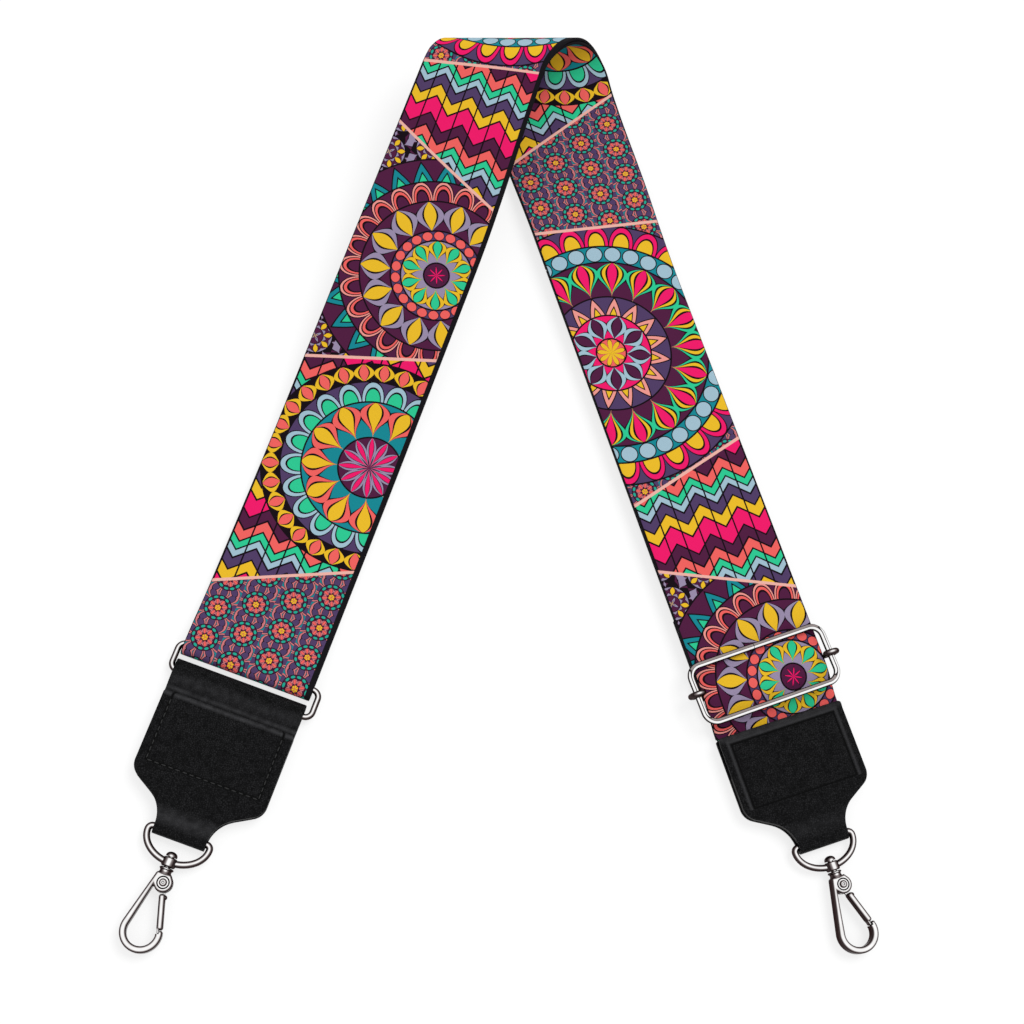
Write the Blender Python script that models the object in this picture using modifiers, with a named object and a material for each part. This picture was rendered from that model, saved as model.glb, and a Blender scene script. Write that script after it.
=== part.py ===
"""A detachable shoulder strap for a bag, laid flat and bent over at its middle, in metres, +Z up.

One long band of webbing is doubled: it starts in the right leather tab, passes through the slider,
goes over the bend and round the ring of the left end, comes back over the bend and ends in a sewn
loop round the slider's centre bar. Each end carries a leather tab, a D-shaped bail and a swivel
snap hook with a sprung gate. The bend lies at +Y, the hooks at -Y, and the table at z = 0.
"""

import math

import bmesh
import bpy
import numpy as np
from mathutils import Vector

# Clearances
FIT = 0.0003
OVERRUN = 0.004

# Webbing
WEB_WIDTH = 0.050
WEB_THICKNESS = 0.0012
LAYER_GAP = 0.0003
LAYER_STEP = WEB_THICKNESS + LAYER_GAP
WEB_COLUMNS = 6

# Route of the band: the angle of each leg to +Y, the bend, and the slope down to the table
LEG_ANGLE = math.radians(18.9)
LOOP_LENGTH = 0.050
LOOP_SHIFT = 0.0086
LOOP_START_Y = 0.16295
APEX_X = 0.0005
SLOPE_ANGLE = math.radians(8.4)
LANDING_LENGTH = 0.050
ROUTE_STEPS = 1500

# Lengths along the band: the right leg from the middle of the bend, then the left leg
LOOP_TO_LIFT = 0.0039
LIFT_RUN = 0.045
LIFT_TO_RETURN = 0.017
SLIDER_AXIS = 0.2815
SLIDER_TO_TAB = 0.0177
TAB_LENGTH = 0.0465
FLAT_RUN = 0.0257
RING_OPENING = 0.024

# Slider
SLIDER_WIRE = 0.00125
SLIDER_BAR_WIRE = 0.0008
SLIDER_HEIGHT = 0.0233
SLIDER_CORNER = 0.0045
SLIDER_SIDE_GAP = 0.0010
SLIDER_KNEE_GAP = 0.0008
SLIDER_SEAM = 0.0002
CURL_TURN = math.radians(262)
TAIL_LENGTH = 0.030
TAIL_RISE = 0.013

# Ring of the left end
RING_WIRE = 0.00115
RING_PITCH = 0.0105
RING_SIDE_GAP = 0.0016
RING_CORNER = 0.0027
FOLD_SLACK = 0.00175

# Leather tabs
LEATHER_THICKNESS = 0.0011
NECK_HALF_WIDTH = 0.0098
SHOULDER_START = 0.0270
SHOULDER_OUT_RADIUS = 0.006
SHOULDER_IN_RADIUS = 0.012
SHOULDER_TURN = math.radians(60)
TOP_CORNER = 0.0010
PANEL_MARGIN = 0.0026
PANEL_RISE = 0.0005
PANEL_SLOPE = 0.0007
LOOP_SHOWING = 0.0082
LOOP_TUCK = 0.015
HEM_LENGTH = 0.0130
HEM_END_INSET = 0.0025
FILLER_INSET = 0.0005

# Bail and swivel
BAIL_WIRE = 0.00125
BAIL_WIDTH = 0.0256
BAIL_CORNER = 0.0016
BAIL_DROP = 0.0102
BOSS_RADIUS = 0.0026
BOSS_LENGTH = 0.0034
POST_RADIUS = 0.0011
POST_HEAD_RADIUS = 0.0021
POST_HEAD_HEIGHT = 0.0019
POST_DEPTH = 0.0024

# Snap hook
HOOK_THICKNESS = 0.0050
HOOK_LENGTH = 0.0307
HOOK_RADIUS = 0.0075
HOOK_LIMB = 0.0024
COLLAR_RADIUS = 0.0026
COLLAR_LENGTH = 0.0026
COLLAR_WAIST = 0.0021
PIVOT_DROP = 0.0053
PIVOT_SHIFT = 0.00084
CHEEK_RADIUS = 0.0034
NOSE_ANGLE = math.radians(20)
NOSE_LAP = 0.0012
EDGE_ROUND = 0.0006
SLOT_WIDTH = 0.0027

# Gate, its pin and its spring
GATE_WIDTH = 0.0023
GATE_THICKNESS = 0.0040
TONGUE_THICKNESS = 0.0010
TONGUE_RADIUS = 0.0019
NUB_RADIUS = 0.0006
PIN_RADIUS = 0.0008
PIN_HEAD_RADIUS = 0.0014
PIN_HEAD_HEIGHT = 0.0004
SPRING_WIRE = 0.00015
SPRING_LEG = 0.0012
SPRING_CLIMB = 0.0006

# Facets
TURN_STEPS = 24
FOLD_STEPS = 8
ARC_STEPS = 5

# Sizes that follow from the ones above
WEB_SLEEVE = SLIDER_BAR_WIRE + FIT + WEB_THICKNESS / 2
BAR_LEVEL = WEB_SLEEVE + WEB_THICKNESS / 2
SLIDER_LIFT = BAR_LEVEL + WEB_SLEEVE - WEB_THICKNESS / 2
TOP_LAYER_LEVEL = SLIDER_LIFT + WEB_THICKNESS / 2 + LAYER_STEP
FRAME_LEVEL = TOP_LAYER_LEVEL + WEB_THICKNESS / 2 + FIT + SLIDER_WIRE
RING_SLEEVE = RING_WIRE + FIT + WEB_THICKNESS / 2
LEATHER_SLEEVE = RING_WIRE + FIT + LEATHER_THICKNESS / 2
PANEL_OFFSET = BAIL_WIRE + FIT + LEATHER_THICKNESS / 2
END_LEVEL = PANEL_OFFSET + LEATHER_THICKNESS / 2
RING_LEVEL = WEB_THICKNESS / 2 + RING_SLEEVE
RIGHT_TAB_AXIS = SLIDER_AXIS + SLIDER_TO_TAB + TAB_LENGTH
LEG_TILT = WEB_WIDTH / 2 * math.tan(LEG_ANGLE)
LOOP_END = LOOP_LENGTH / 2 / math.cos(LEG_ANGLE) + LEG_TILT
LIFT_START = LOOP_END + LOOP_TO_LIFT
LIFT_END = LIFT_START + LIFT_RUN
RETURN_START = LIFT_END + LIFT_TO_RETURN
BAIL_HALF = BAIL_WIDTH / 2 - BAIL_WIRE
COLLAR_TOP = -BOSS_LENGTH / 2 - FIT
HOOK_CENTRE = Vector((0, COLLAR_TOP - HOOK_LENGTH + HOOK_RADIUS))
LIMB_RADIUS = HOOK_RADIUS - HOOK_LIMB / 2
NOSE = HOOK_CENTRE + LIMB_RADIUS * Vector((math.cos(NOSE_ANGLE), math.sin(NOSE_ANGLE)))
PIVOT = Vector((PIVOT_SHIFT, COLLAR_TOP - PIVOT_DROP))
GATE_LENGTH = (PIVOT - NOSE).length
GATE_LINE = (PIVOT - NOSE) / GATE_LENGTH


def smooth(share):
    """A rise from 0 to 1 that starts and ends level."""
    share = np.clip(share, 0, 1)
    return share * share * (3 - 2 * share)


def spread(first, last, steps):
    """Evenly spaced values from first to last, both included."""
    return [first + (last - first) * i / steps for i in range(steps + 1)]


def arc(centre, radius, start, end, steps):
    """Points of a circular arc in a plane."""
    return [
        Vector(centre) + radius * Vector((math.cos(a), math.sin(a)))
        for a in spread(start, end, steps)
    ]


# Scene, collections and materials


def empty_scene():
    for old in list(bpy.data.objects):
        bpy.data.objects.remove(old, do_unlink=True)


def collection(name):
    new = bpy.data.collections.new(name)
    bpy.context.scene.collection.children.link(new)
    return new


def finish(name, colour, roughness, metallic):
    material = bpy.data.materials.new(name)
    material.use_nodes = True
    shader = material.node_tree.nodes["Principled BSDF"]
    shader.inputs["Base Color"].default_value = (*colour, 1)
    shader.inputs["Roughness"].default_value = roughness
    shader.inputs["Metallic"].default_value = metallic
    material.diffuse_color = (*colour, 1)
    return material


# Tools that make one object each


def joint_empty(name, location, parent=None, turn=0.0):
    """A guide on a joint's axis, which carries the pieces that move about it."""
    guide = bpy.data.objects.new(name, None)
    guides.objects.link(guide)
    guide.parent = parent
    guide.location = location
    guide.rotation_euler = (0, 0, turn)
    return guide


def add_mesh(name, mesh, material=None, parent=None, location=(0, 0, 0), folder=None):
    solid = bpy.data.objects.new(name, mesh)
    (folder or parts).objects.link(solid)
    if material:
        mesh.materials.clear()
        mesh.materials.append(material)
    solid.parent = parent
    solid.location = location
    return solid


def sheet(name, rows, thickness, material, parent=None):
    """A strip of cloth or leather: a grid laid along its rows of points and thickened both ways."""
    grid = bmesh.new()
    bmesh.ops.create_grid(grid, x_segments=len(rows[0]) - 1, y_segments=len(rows) - 1, size=1)
    places = [point for row in rows for point in row]
    for vertex, place in zip(grid.verts, places, strict=True):
        vertex.co = place
    mesh = bpy.data.meshes.new(name)
    grid.to_mesh(mesh)
    grid.free()
    mesh.shade_smooth()
    solid = add_mesh(name, mesh, material, parent)
    wall = solid.modifiers.new("thickness", "SOLIDIFY")
    wall.thickness = thickness
    wall.offset = 0
    wall.use_even_offset = True
    return solid


def tube(name, points, radius, material, parent=None, closed=False, sides=2, location=(0, 0, 0)):
    """Round wire along a list of points."""
    curve = bpy.data.curves.new(name, "CURVE")
    curve.dimensions = "3D"
    line = curve.splines.new("POLY")
    line.points.add(len(points) - 1)
    for spot, point in zip(line.points, points, strict=True):
        spot.co = (*point, 1)
    line.use_cyclic_u = closed
    line.use_smooth = True
    curve.bevel_depth = radius
    curve.bevel_resolution = sides
    curve.use_fill_caps = True
    curve.materials.append(material)
    wire = bpy.data.objects.new(name, curve)
    parts.objects.link(wire)
    wire.parent = parent
    wire.location = location
    return wire


def made_mesh(solid):
    """The same object as a welded mesh, so that it can be cut or joined."""
    bpy.context.view_layer.update()
    seen = bpy.context.evaluated_depsgraph_get()
    mesh = bpy.data.meshes.new_from_object(solid.evaluated_get(seen))
    shape = bmesh.new()
    shape.from_mesh(mesh)
    bmesh.ops.remove_doubles(shape, verts=shape.verts, dist=FIT / 30)
    shape.to_mesh(mesh)
    shape.free()
    name, parent, location = solid.name, solid.parent, solid.location.copy()
    bpy.data.objects.remove(solid, do_unlink=True)
    mesh.name = name
    return add_mesh(name, mesh, None, parent, location)


def plate(name, outline, thickness, material, parent=None, location=(0, 0, 0), centre_z=0.0):
    """A flat outline in XY, filled and thickened about centre_z."""
    curve = bpy.data.curves.new(name, "CURVE")
    curve.dimensions = "2D"
    curve.fill_mode = "BOTH"
    line = curve.splines.new("POLY")
    line.points.add(len(outline) - 1)
    for spot, point in zip(line.points, outline, strict=True):
        spot.co = (point[0], point[1], 0, 1)
    line.use_cyclic_u = True
    curve.extrude = thickness / 2
    curve.materials.append(material)
    flat = bpy.data.objects.new(name, curve)
    parts.objects.link(flat)
    flat.parent = parent
    flat.location = location
    solid = made_mesh(flat)
    for vertex in solid.data.vertices:
        vertex.co.z += centre_z
    return solid


def turned(name, profile, material, parent=None, location=(0, 0, 0), along_y=True, folder=None):
    """A turned piece: (radius, height) pairs from top to bottom, spun about Z, or Y when along_y."""
    mesh = bpy.data.meshes.new(name)
    heights = [Vector((radius, 0, height)) for radius, height in profile]
    mesh.from_pydata(heights, [(i, i + 1) for i in range(len(heights) - 1)], [])
    mesh.shade_smooth()
    solid = add_mesh(name, mesh, material, parent, location, folder)
    spin = solid.modifiers.new("spin", "SCREW")
    spin.steps = TURN_STEPS
    spin.render_steps = TURN_STEPS
    spin.use_merge_vertices = True
    spin.merge_threshold = FIT / 30
    if along_y:
        solid.rotation_euler = (-math.pi / 2, 0, 0)
    return solid


def box(name, low, high, parent):
    """A plain cutter between two corners."""
    shape = bmesh.new()
    bmesh.ops.create_cube(shape, size=1)
    low, high = Vector(low), Vector(high)
    for vertex in shape.verts:
        share = vertex.co + Vector((0.5, 0.5, 0.5))
        vertex.co = [a + (b - a) * s for a, b, s in zip(low, high, share, strict=True)]
    mesh = bpy.data.meshes.new(name)
    shape.to_mesh(mesh)
    shape.free()
    return add_mesh(name, mesh, None, parent, folder=guides)


def combine(solid, tool, operation):
    """Joins the tool to the solid or cuts it away, and hides the tool."""
    if tool.name not in guides.objects:
        guides.objects.link(tool)
        parts.objects.unlink(tool)
    tool.hide_render = True
    tool.display_type = "WIRE"
    step = solid.modifiers.new(tool.name, "BOOLEAN")
    step.operation = operation
    step.object = tool


def round_edges(solid, width, steps=2):
    """Rounds the rims of a plate, and leaves the small steps along its curved sides."""
    rim = solid.modifiers.new("rim", "BEVEL")
    rim.width = width
    rim.segments = steps
    rim.limit_method = "ANGLE"
    rim.angle_limit = math.radians(50)
    rim.harden_normals = False


# Route of the doubled band


def route_table():
    """The inner layer's path over the bend, seen from the side: y, z and heading at each length."""
    shares = smooth((np.arange(ROUTE_STEPS) + 0.5) / ROUTE_STEPS)
    fall = LANDING_LENGTH * np.mean(np.sin(SLOPE_ANGLE * (1 - shares)))
    rise = LOOP_LENGTH * np.mean(np.sin((math.pi + SLOPE_ANGLE) * shares))
    slope = (rise + LAYER_STEP - fall) / math.sin(SLOPE_ANGLE)
    total = LOOP_LENGTH + slope + LANDING_LENGTH
    along = np.array(spread(0, total, ROUTE_STEPS))
    heading = (math.pi + SLOPE_ANGLE) * smooth(along / LOOP_LENGTH)
    heading -= SLOPE_ANGLE * smooth((along - LOOP_LENGTH - slope) / LANDING_LENGTH)
    middle = (heading[1:] + heading[:-1]) / 2
    piece = total / ROUTE_STEPS
    y = LOOP_START_Y + np.concatenate([[0], np.cumsum(np.cos(middle)) * piece])
    z = np.concatenate([[0], np.cumsum(np.sin(middle)) * piece])
    z += WEB_THICKNESS / 2 + LAYER_STEP
    return along, y, z, heading, slope


ROUTE_LENGTH, ROUTE_Y, ROUTE_Z, ROUTE_HEADING, SLOPE_LENGTH = route_table()
LAND_START = (LOOP_LENGTH / 2 + SLOPE_LENGTH) / math.cos(LEG_ANGLE) - LEG_TILT
LAND_END = LAND_START + LANDING_LENGTH / math.cos(LEG_ANGLE) + 2 * LEG_TILT
CLOSED_END = LAND_END + FLAT_RUN
LEFT_RING_AXIS = CLOSED_END + RING_OPENING + RING_WIRE


def band_point(along, across, outward=0.0):
    """A point of the band: along from the middle of the bend, right leg negative, across to +X."""
    length = LOOP_LENGTH / 2 + along * math.cos(LEG_ANGLE) + across * math.sin(LEG_ANGLE)
    x = APEX_X - along * math.sin(LEG_ANGLE) + across * math.cos(LEG_ANGLE)
    x -= LOOP_SHIFT * (smooth(length / LOOP_LENGTH) - smooth(0.5))
    y = np.interp(length, ROUTE_LENGTH, ROUTE_Y) + min(length, 0)
    y -= max(length - ROUTE_LENGTH[-1], 0)
    z = np.interp(length, ROUTE_LENGTH, ROUTE_Z)
    heading = np.interp(length, ROUTE_LENGTH, ROUTE_HEADING)
    return Vector((x, y + outward * math.sin(heading), z - outward * math.cos(heading)))


def band_row(along, level=None, outward=0.0, rise=0.0):
    """One line of points across the band; level sets its height where the band lies flat."""
    row = []
    for across in spread(-WEB_WIDTH / 2, WEB_WIDTH / 2, WEB_COLUMNS):
        point = band_point(along, across, outward)
        if level is not None:
            point.z = level
        point.z += rise
        row.append(point)
    return row


def right_lift(along):
    """The right leg is carried up to the slider's height, and lies on the table near the bend."""
    return SLIDER_LIFT * float(smooth((-along - LIFT_START) / (LIFT_END - LIFT_START)))


def fold_rows(along, level, radius, side):
    """Rows round a half turn of the band, from its lower layer to its upper one or back."""
    rows = []
    for angle in spread(0, math.pi, FOLD_STEPS):
        place = along + side * radius * math.sin(angle)
        rows.append(band_row(place, level - radius * math.cos(angle)))
    return rows


def bend_stations():
    """Places along both layers, from the right leg's flat stretch to the left leg's."""
    lift = spread(-LIFT_END, -LIFT_START, 6)
    loop = spread(-LOOP_END, LOOP_END, 26)
    slope = spread(LOOP_END, LAND_START, 6)[1:]
    landing = spread(LAND_START, LAND_END, 10)[1:]
    return lift, loop + slope + landing


def make_webbing():
    """The band from its hem in the right tab to the ring, and back over the bend to the right leg."""
    lift, bend = bend_stations()
    tab_top = -(RIGHT_TAB_AXIS - TAB_LENGTH)
    hem_radius = LAYER_STEP / 2
    hem = tab_top - HEM_LENGTH
    low = END_LEVEL - hem_radius
    rows = [band_row(tab_top - HEM_END_INSET, END_LEVEL + hem_radius)]
    rows += fold_rows(hem, END_LEVEL, hem_radius, -1)[::-1]
    clear = -(SLIDER_AXIS + WEB_SLEEVE + FIT)
    for place in spread(tab_top + FIT, clear, 7):
        climb = float(smooth((place - tab_top) / (clear - tab_top)))
        rows.append(band_row(place, low + (TOP_LAYER_LEVEL - low) * climb))
    rows += [band_row(place, rise=right_lift(place)) for place in lift]
    rows += [band_row(place) for place in bend]
    fold = LEFT_RING_AXIS + FOLD_SLACK
    rows += fold_rows(fold, RING_LEVEL, RING_SLEEVE, 1)
    upper = WEB_THICKNESS / 2 + LAYER_STEP
    for place in spread(LEFT_RING_AXIS - RING_WIRE - FIT, CLOSED_END, 7):
        drop = float(smooth((place - CLOSED_END) / RING_OPENING))
        rows.append(band_row(place, upper + (RING_LEVEL + RING_SLEEVE - upper) * drop))
    rows += [band_row(place, outward=LAYER_STEP) for place in bend[::-1]]
    rows += [
        band_row(place, outward=LAYER_STEP, rise=right_lift(place)) for place in lift[::-1]
    ]
    rows.append(band_row(-RETURN_START, outward=LAYER_STEP, rise=SLIDER_LIFT))
    return sheet("webbing", rows, WEB_THICKNESS, printed_webbing)


def make_webbing_return():
    """The lower layer between the bend and the slider, which shortens as the slider moves up."""
    ends = (-RETURN_START - FIT, -(SLIDER_AXIS - WEB_SLEEVE - FIT))
    rows = [band_row(end, outward=LAYER_STEP, rise=SLIDER_LIFT) for end in ends]
    return sheet("webbing_return", rows, WEB_THICKNESS, printed_webbing)


def make_webbing_tail(slider):
    """The sewn end of the band, folded round the slider's centre bar and back under itself."""
    half = WEB_WIDTH / 2
    path = [(WEB_SLEEVE, WEB_SLEEVE)]
    path += [
        (-WEB_SLEEVE * math.sin(angle), WEB_SLEEVE * math.cos(angle))
        for angle in spread(0, math.pi, FOLD_STEPS)
    ]
    sewn = WEB_SLEEVE - LAYER_STEP
    for place in spread(SLIDER_BAR_WIRE, TAIL_RISE, 6):
        climb = float(smooth((place - SLIDER_BAR_WIRE) / (TAIL_RISE - SLIDER_BAR_WIRE)))
        path.append((place, -WEB_SLEEVE + (sewn + WEB_SLEEVE) * climb))
    path.append((TAIL_LENGTH, sewn))
    rows = [[Vector((-half, y, z)), Vector((half, y, z))] for y, z in path]
    return sheet("webbing_tail", rows, WEB_THICKNESS, printed_webbing, slider)


# Slider


def rounded_rectangle(half_x, half_y, corner, steps):
    """Corner points of a rounded rectangle, from its right side round to its bottom right corner."""
    places = []
    for turn, (side_x, side_y) in enumerate(((1, 1), (-1, 1), (-1, -1), (1, -1))):
        centre = (side_x * (half_x - corner), side_y * (half_y - corner))
        start = turn * math.pi / 2
        places += arc(centre, corner, start, start + math.pi / 2, steps)
    return places


def make_slider(slider):
    """A wire frame over the webbing, and a centre bar under it whose ends curl round the frame."""
    rail = WEB_WIDTH / 2 + SLIDER_SIDE_GAP + SLIDER_WIRE
    lift = FRAME_LEVEL - BAR_LEVEL
    loop = rounded_rectangle(rail, SLIDER_HEIGHT / 2, SLIDER_CORNER, ARC_STEPS)
    seam = [Vector((-SLIDER_SEAM / 2, SLIDER_HEIGHT / 2))]
    seam_end = [Vector((SLIDER_SEAM / 2, SLIDER_HEIGHT / 2))]
    first = len(loop) // 4
    around = seam + loop[first:] + loop[:first] + seam_end
    frame = joint_empty("slider_frame_axis", (0, 0, lift), slider)
    path = [(*point, 0) for point in around]
    tube("slider_frame", path, SLIDER_WIRE, nickel, frame, sides=3)

    curl = SLIDER_WIRE + FIT + SLIDER_BAR_WIRE
    centre = Vector((rail, lift))
    turns = arc(centre, curl, -math.pi / 2, -math.pi / 2 + CURL_TURN, 3 * ARC_STEPS)
    knee = Vector((WEB_WIDTH / 2 + SLIDER_KNEE_GAP, 0))
    right = [knee] + turns
    left = [Vector((-point.x, point.y)) for point in right]
    path = [(point.x, 0, point.y) for point in left[::-1] + right]
    tube("slider_bar", path, SLIDER_BAR_WIRE, nickel, slider, sides=2)


# Left end's ring


def make_ring(ring):
    """A rectangular ring with round ends, between the webbing's fold and the leather loop."""
    side = WEB_WIDTH / 2 + RING_SIDE_GAP + RING_WIRE
    half = RING_PITCH / 2
    loop = rounded_rectangle(side, half, RING_CORNER, ARC_STEPS)
    path = [(point.x, point.y - half, 0) for point in loop]
    tube("ring", path, RING_WIRE, nickel, ring, closed=True, sides=3)


# Leather pieces


def shoulder_outline(inset=0.0):
    """(half width, height) down one side of a tab, from the square part to the neck."""
    wide = WEB_WIDTH / 2 - inset
    neck = NECK_HALF_WIDTH - inset
    outer, inner = SHOULDER_OUT_RADIUS, SHOULDER_IN_RADIUS
    turn = SHOULDER_TURN
    run = (wide - neck - (outer + inner) * (1 - math.cos(turn))) / math.sin(turn)
    start = TAB_LENGTH - SHOULDER_START
    neck_y = start - (outer + inner) * math.sin(turn) - run * math.cos(turn)
    upper = arc((wide - outer, start), outer, 0, -turn, ARC_STEPS)
    lower = arc((neck + inner, neck_y), inner, math.pi - turn, math.pi, ARC_STEPS)
    return upper + lower


def make_tab(name, axis):
    """One blank of leather folded round the bail's bar, its front raised over the filler."""
    top = TAB_LENGTH
    square = TAB_LENGTH - SHOULDER_START
    wide = WEB_WIDTH / 2
    ends = (top - PANEL_MARGIN + PANEL_SLOPE, square + PANEL_SLOPE)
    stations = [(wide - TOP_CORNER, top, 0), (wide, top - TOP_CORNER, 0)]
    stations += [(wide, ends[0], 0), (wide, ends[0] - PANEL_SLOPE, 1)]
    stations += [(wide, ends[1] + PANEL_SLOPE, 1), (wide, ends[1], 0)]
    stations += [(point.x, point.y, 0) for point in shoulder_outline()]
    margin = PANEL_MARGIN / wide
    slope = PANEL_SLOPE / wide
    inner = 1 - margin - slope
    columns = (-1, margin - 1, -inner, -inner / 2, 0, inner / 2, inner, 1 - margin, 1)
    rows = []
    for half, y, raised in stations:
        row = []
        for share in columns:
            rise = PANEL_RISE * raised * (abs(share) < 1 - margin - slope / 2)
            row.append(Vector((half * share, y, PANEL_OFFSET + rise)))
        rows.append(row)
    for angle in spread(0, math.pi, FOLD_STEPS):
        y, z = -PANEL_OFFSET * math.sin(angle), PANEL_OFFSET * math.cos(angle)
        rows.append([Vector((NECK_HALF_WIDTH * share, y, z)) for share in columns])
    back = [station for station in stations[::-1] if station[2] == 0]
    rows += [
        [Vector((half * share, y, -PANEL_OFFSET)) for share in columns] for half, y, _ in back
    ]
    return sheet(name, rows, LEATHER_THICKNESS, leather, axis)


def make_filler(name, axis, top):
    """The stiffener between a tab's front and back."""
    side = [Vector((WEB_WIDTH / 2 - FILLER_INSET, top))]
    side += shoulder_outline(FILLER_INSET)
    low = BAIL_WIRE + 2 * FIT
    side = [point for point in side if point.y > low] + [Vector((NECK_HALF_WIDTH - FILLER_INSET, low))]
    outline = side + [Vector((-point.x, point.y)) for point in side[::-1]]
    gap = PANEL_OFFSET - LEATHER_THICKNESS / 2
    return plate(name, outline, 2 * (gap - FIT), stiffener, axis)


def make_leather_loop(axis):
    """The leather strip round the ring's lower bar, both its ends sewn into the left tab."""
    half = WEB_WIDTH / 2
    closed = (LEATHER_THICKNESS + LAYER_GAP) / 2
    mouth = -LOOP_SHOWING - FIT
    upper = []
    for place in spread(mouth, -RING_WIRE, 6):
        climb = float(smooth((place - mouth) / (-RING_WIRE - mouth)))
        upper.append((place, closed + (LEATHER_SLEEVE - closed) * climb))
    upper.insert(0, (mouth - LOOP_TUCK, closed))
    fold = [
        (FOLD_SLACK + LEATHER_SLEEVE * math.sin(angle), LEATHER_SLEEVE * math.cos(angle))
        for angle in spread(0, math.pi, FOLD_STEPS)
    ]
    path = upper + fold + [(y, -z) for y, z in upper[::-1]]
    rows = [[Vector((-half, y, z)), Vector((half, y, z))] for y, z in path]
    return sheet("leather_loop", rows, LEATHER_THICKNESS, leather, axis)


# Bail, swivel hook and gate of one end


def make_bail(side, axis):
    """A D of wire with its straight bar in the leather, and a boss that holds the swivel post."""
    half = BAIL_HALF
    straight = half - BAIL_CORNER
    points = arc((straight, -BAIL_CORNER), BAIL_CORNER, math.pi / 2, 0, ARC_STEPS)
    drop = BAIL_DROP - BAIL_CORNER
    for angle in spread(0, math.pi, 4 * ARC_STEPS)[1:-1]:
        points.append(Vector((half * math.cos(angle), -BAIL_CORNER - drop * math.sin(angle))))
    points += arc((-straight, -BAIL_CORNER), BAIL_CORNER, math.pi, math.pi / 2, ARC_STEPS)
    path = [(*point, 0) for point in points]
    wire = tube(f"{side}_bail", path, BAIL_WIRE, nickel, axis, closed=True, sides=3)
    bail = made_mesh(wire)
    bail.data.shade_smooth()
    bail.data.materials.append(nickel)
    reach = BOSS_LENGTH / 2
    place = (0, -BAIL_DROP, 0)
    round_off = EDGE_ROUND
    profile = [(0, reach), (BOSS_RADIUS - round_off, reach), (BOSS_RADIUS, reach - round_off)]
    profile += [(radius, -height) for radius, height in profile[::-1]]
    boss = turned(f"{side}_boss", profile, nickel, axis, place)
    combine(bail, boss, "UNION")
    bore_profile = [(0, reach + OVERRUN), (POST_RADIUS + FIT, reach + OVERRUN)]
    bore_profile += [(radius, -height) for radius, height in bore_profile[::-1]]
    bore = turned(f"{side}_boss_bore", bore_profile, nickel, axis, place)
    combine(bail, bore, "DIFFERENCE")
    return bail


def make_post(side, hook):
    """The swivel post: a domed head inside the bail and a shank riveted into the hook's collar."""
    seat = BOSS_LENGTH / 2 + FIT
    dome = [
        (POST_HEAD_RADIUS * math.sin(angle), seat + POST_HEAD_HEIGHT * math.cos(angle))
        for angle in spread(0, math.pi / 2, ARC_STEPS)
    ]
    profile = dome + [(POST_RADIUS, seat), (POST_RADIUS, COLLAR_TOP - POST_DEPTH)]
    profile.append((0, COLLAR_TOP - POST_DEPTH))
    return turned(f"{side}_post", profile, nickel, hook)


def tangent_angle(point, radius, side):
    """The angle on the hook's round end where a line from the point touches it."""
    away = point - HOOK_CENTRE
    return math.atan2(away.y, away.x) + side * math.acos(radius / away.length)


def hook_outline():
    """The hook seen from the front: cheek, spine, round end and nose."""
    top = COLLAR_TOP - COLLAR_LENGTH + EDGE_ROUND
    outer, inner = HOOK_RADIUS, HOOK_RADIUS - HOOK_LIMB
    shoulder = Vector((-COLLAR_RADIUS, top))
    cheek = arc(PIVOT, CHEEK_RADIUS, math.radians(45), math.radians(-150), 3 * ARC_STEPS)
    lap = NOSE_LAP / LIMB_RADIUS
    out_start = tangent_angle(shoulder, outer, 1)
    in_start = tangent_angle(cheek[-1], inner, 1)
    full = 2 * math.pi
    points = [shoulder, Vector((COLLAR_RADIUS, top))] + cheek
    points += arc(HOOK_CENTRE, inner, in_start, full + NOSE_ANGLE - lap, 4 * ARC_STEPS)
    points += arc(HOOK_CENTRE, LIMB_RADIUS, full + NOSE_ANGLE - lap, full + NOSE_ANGLE, 1)
    points += arc(HOOK_CENTRE, outer, full + NOSE_ANGLE, out_start, 4 * ARC_STEPS)
    return points


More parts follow.
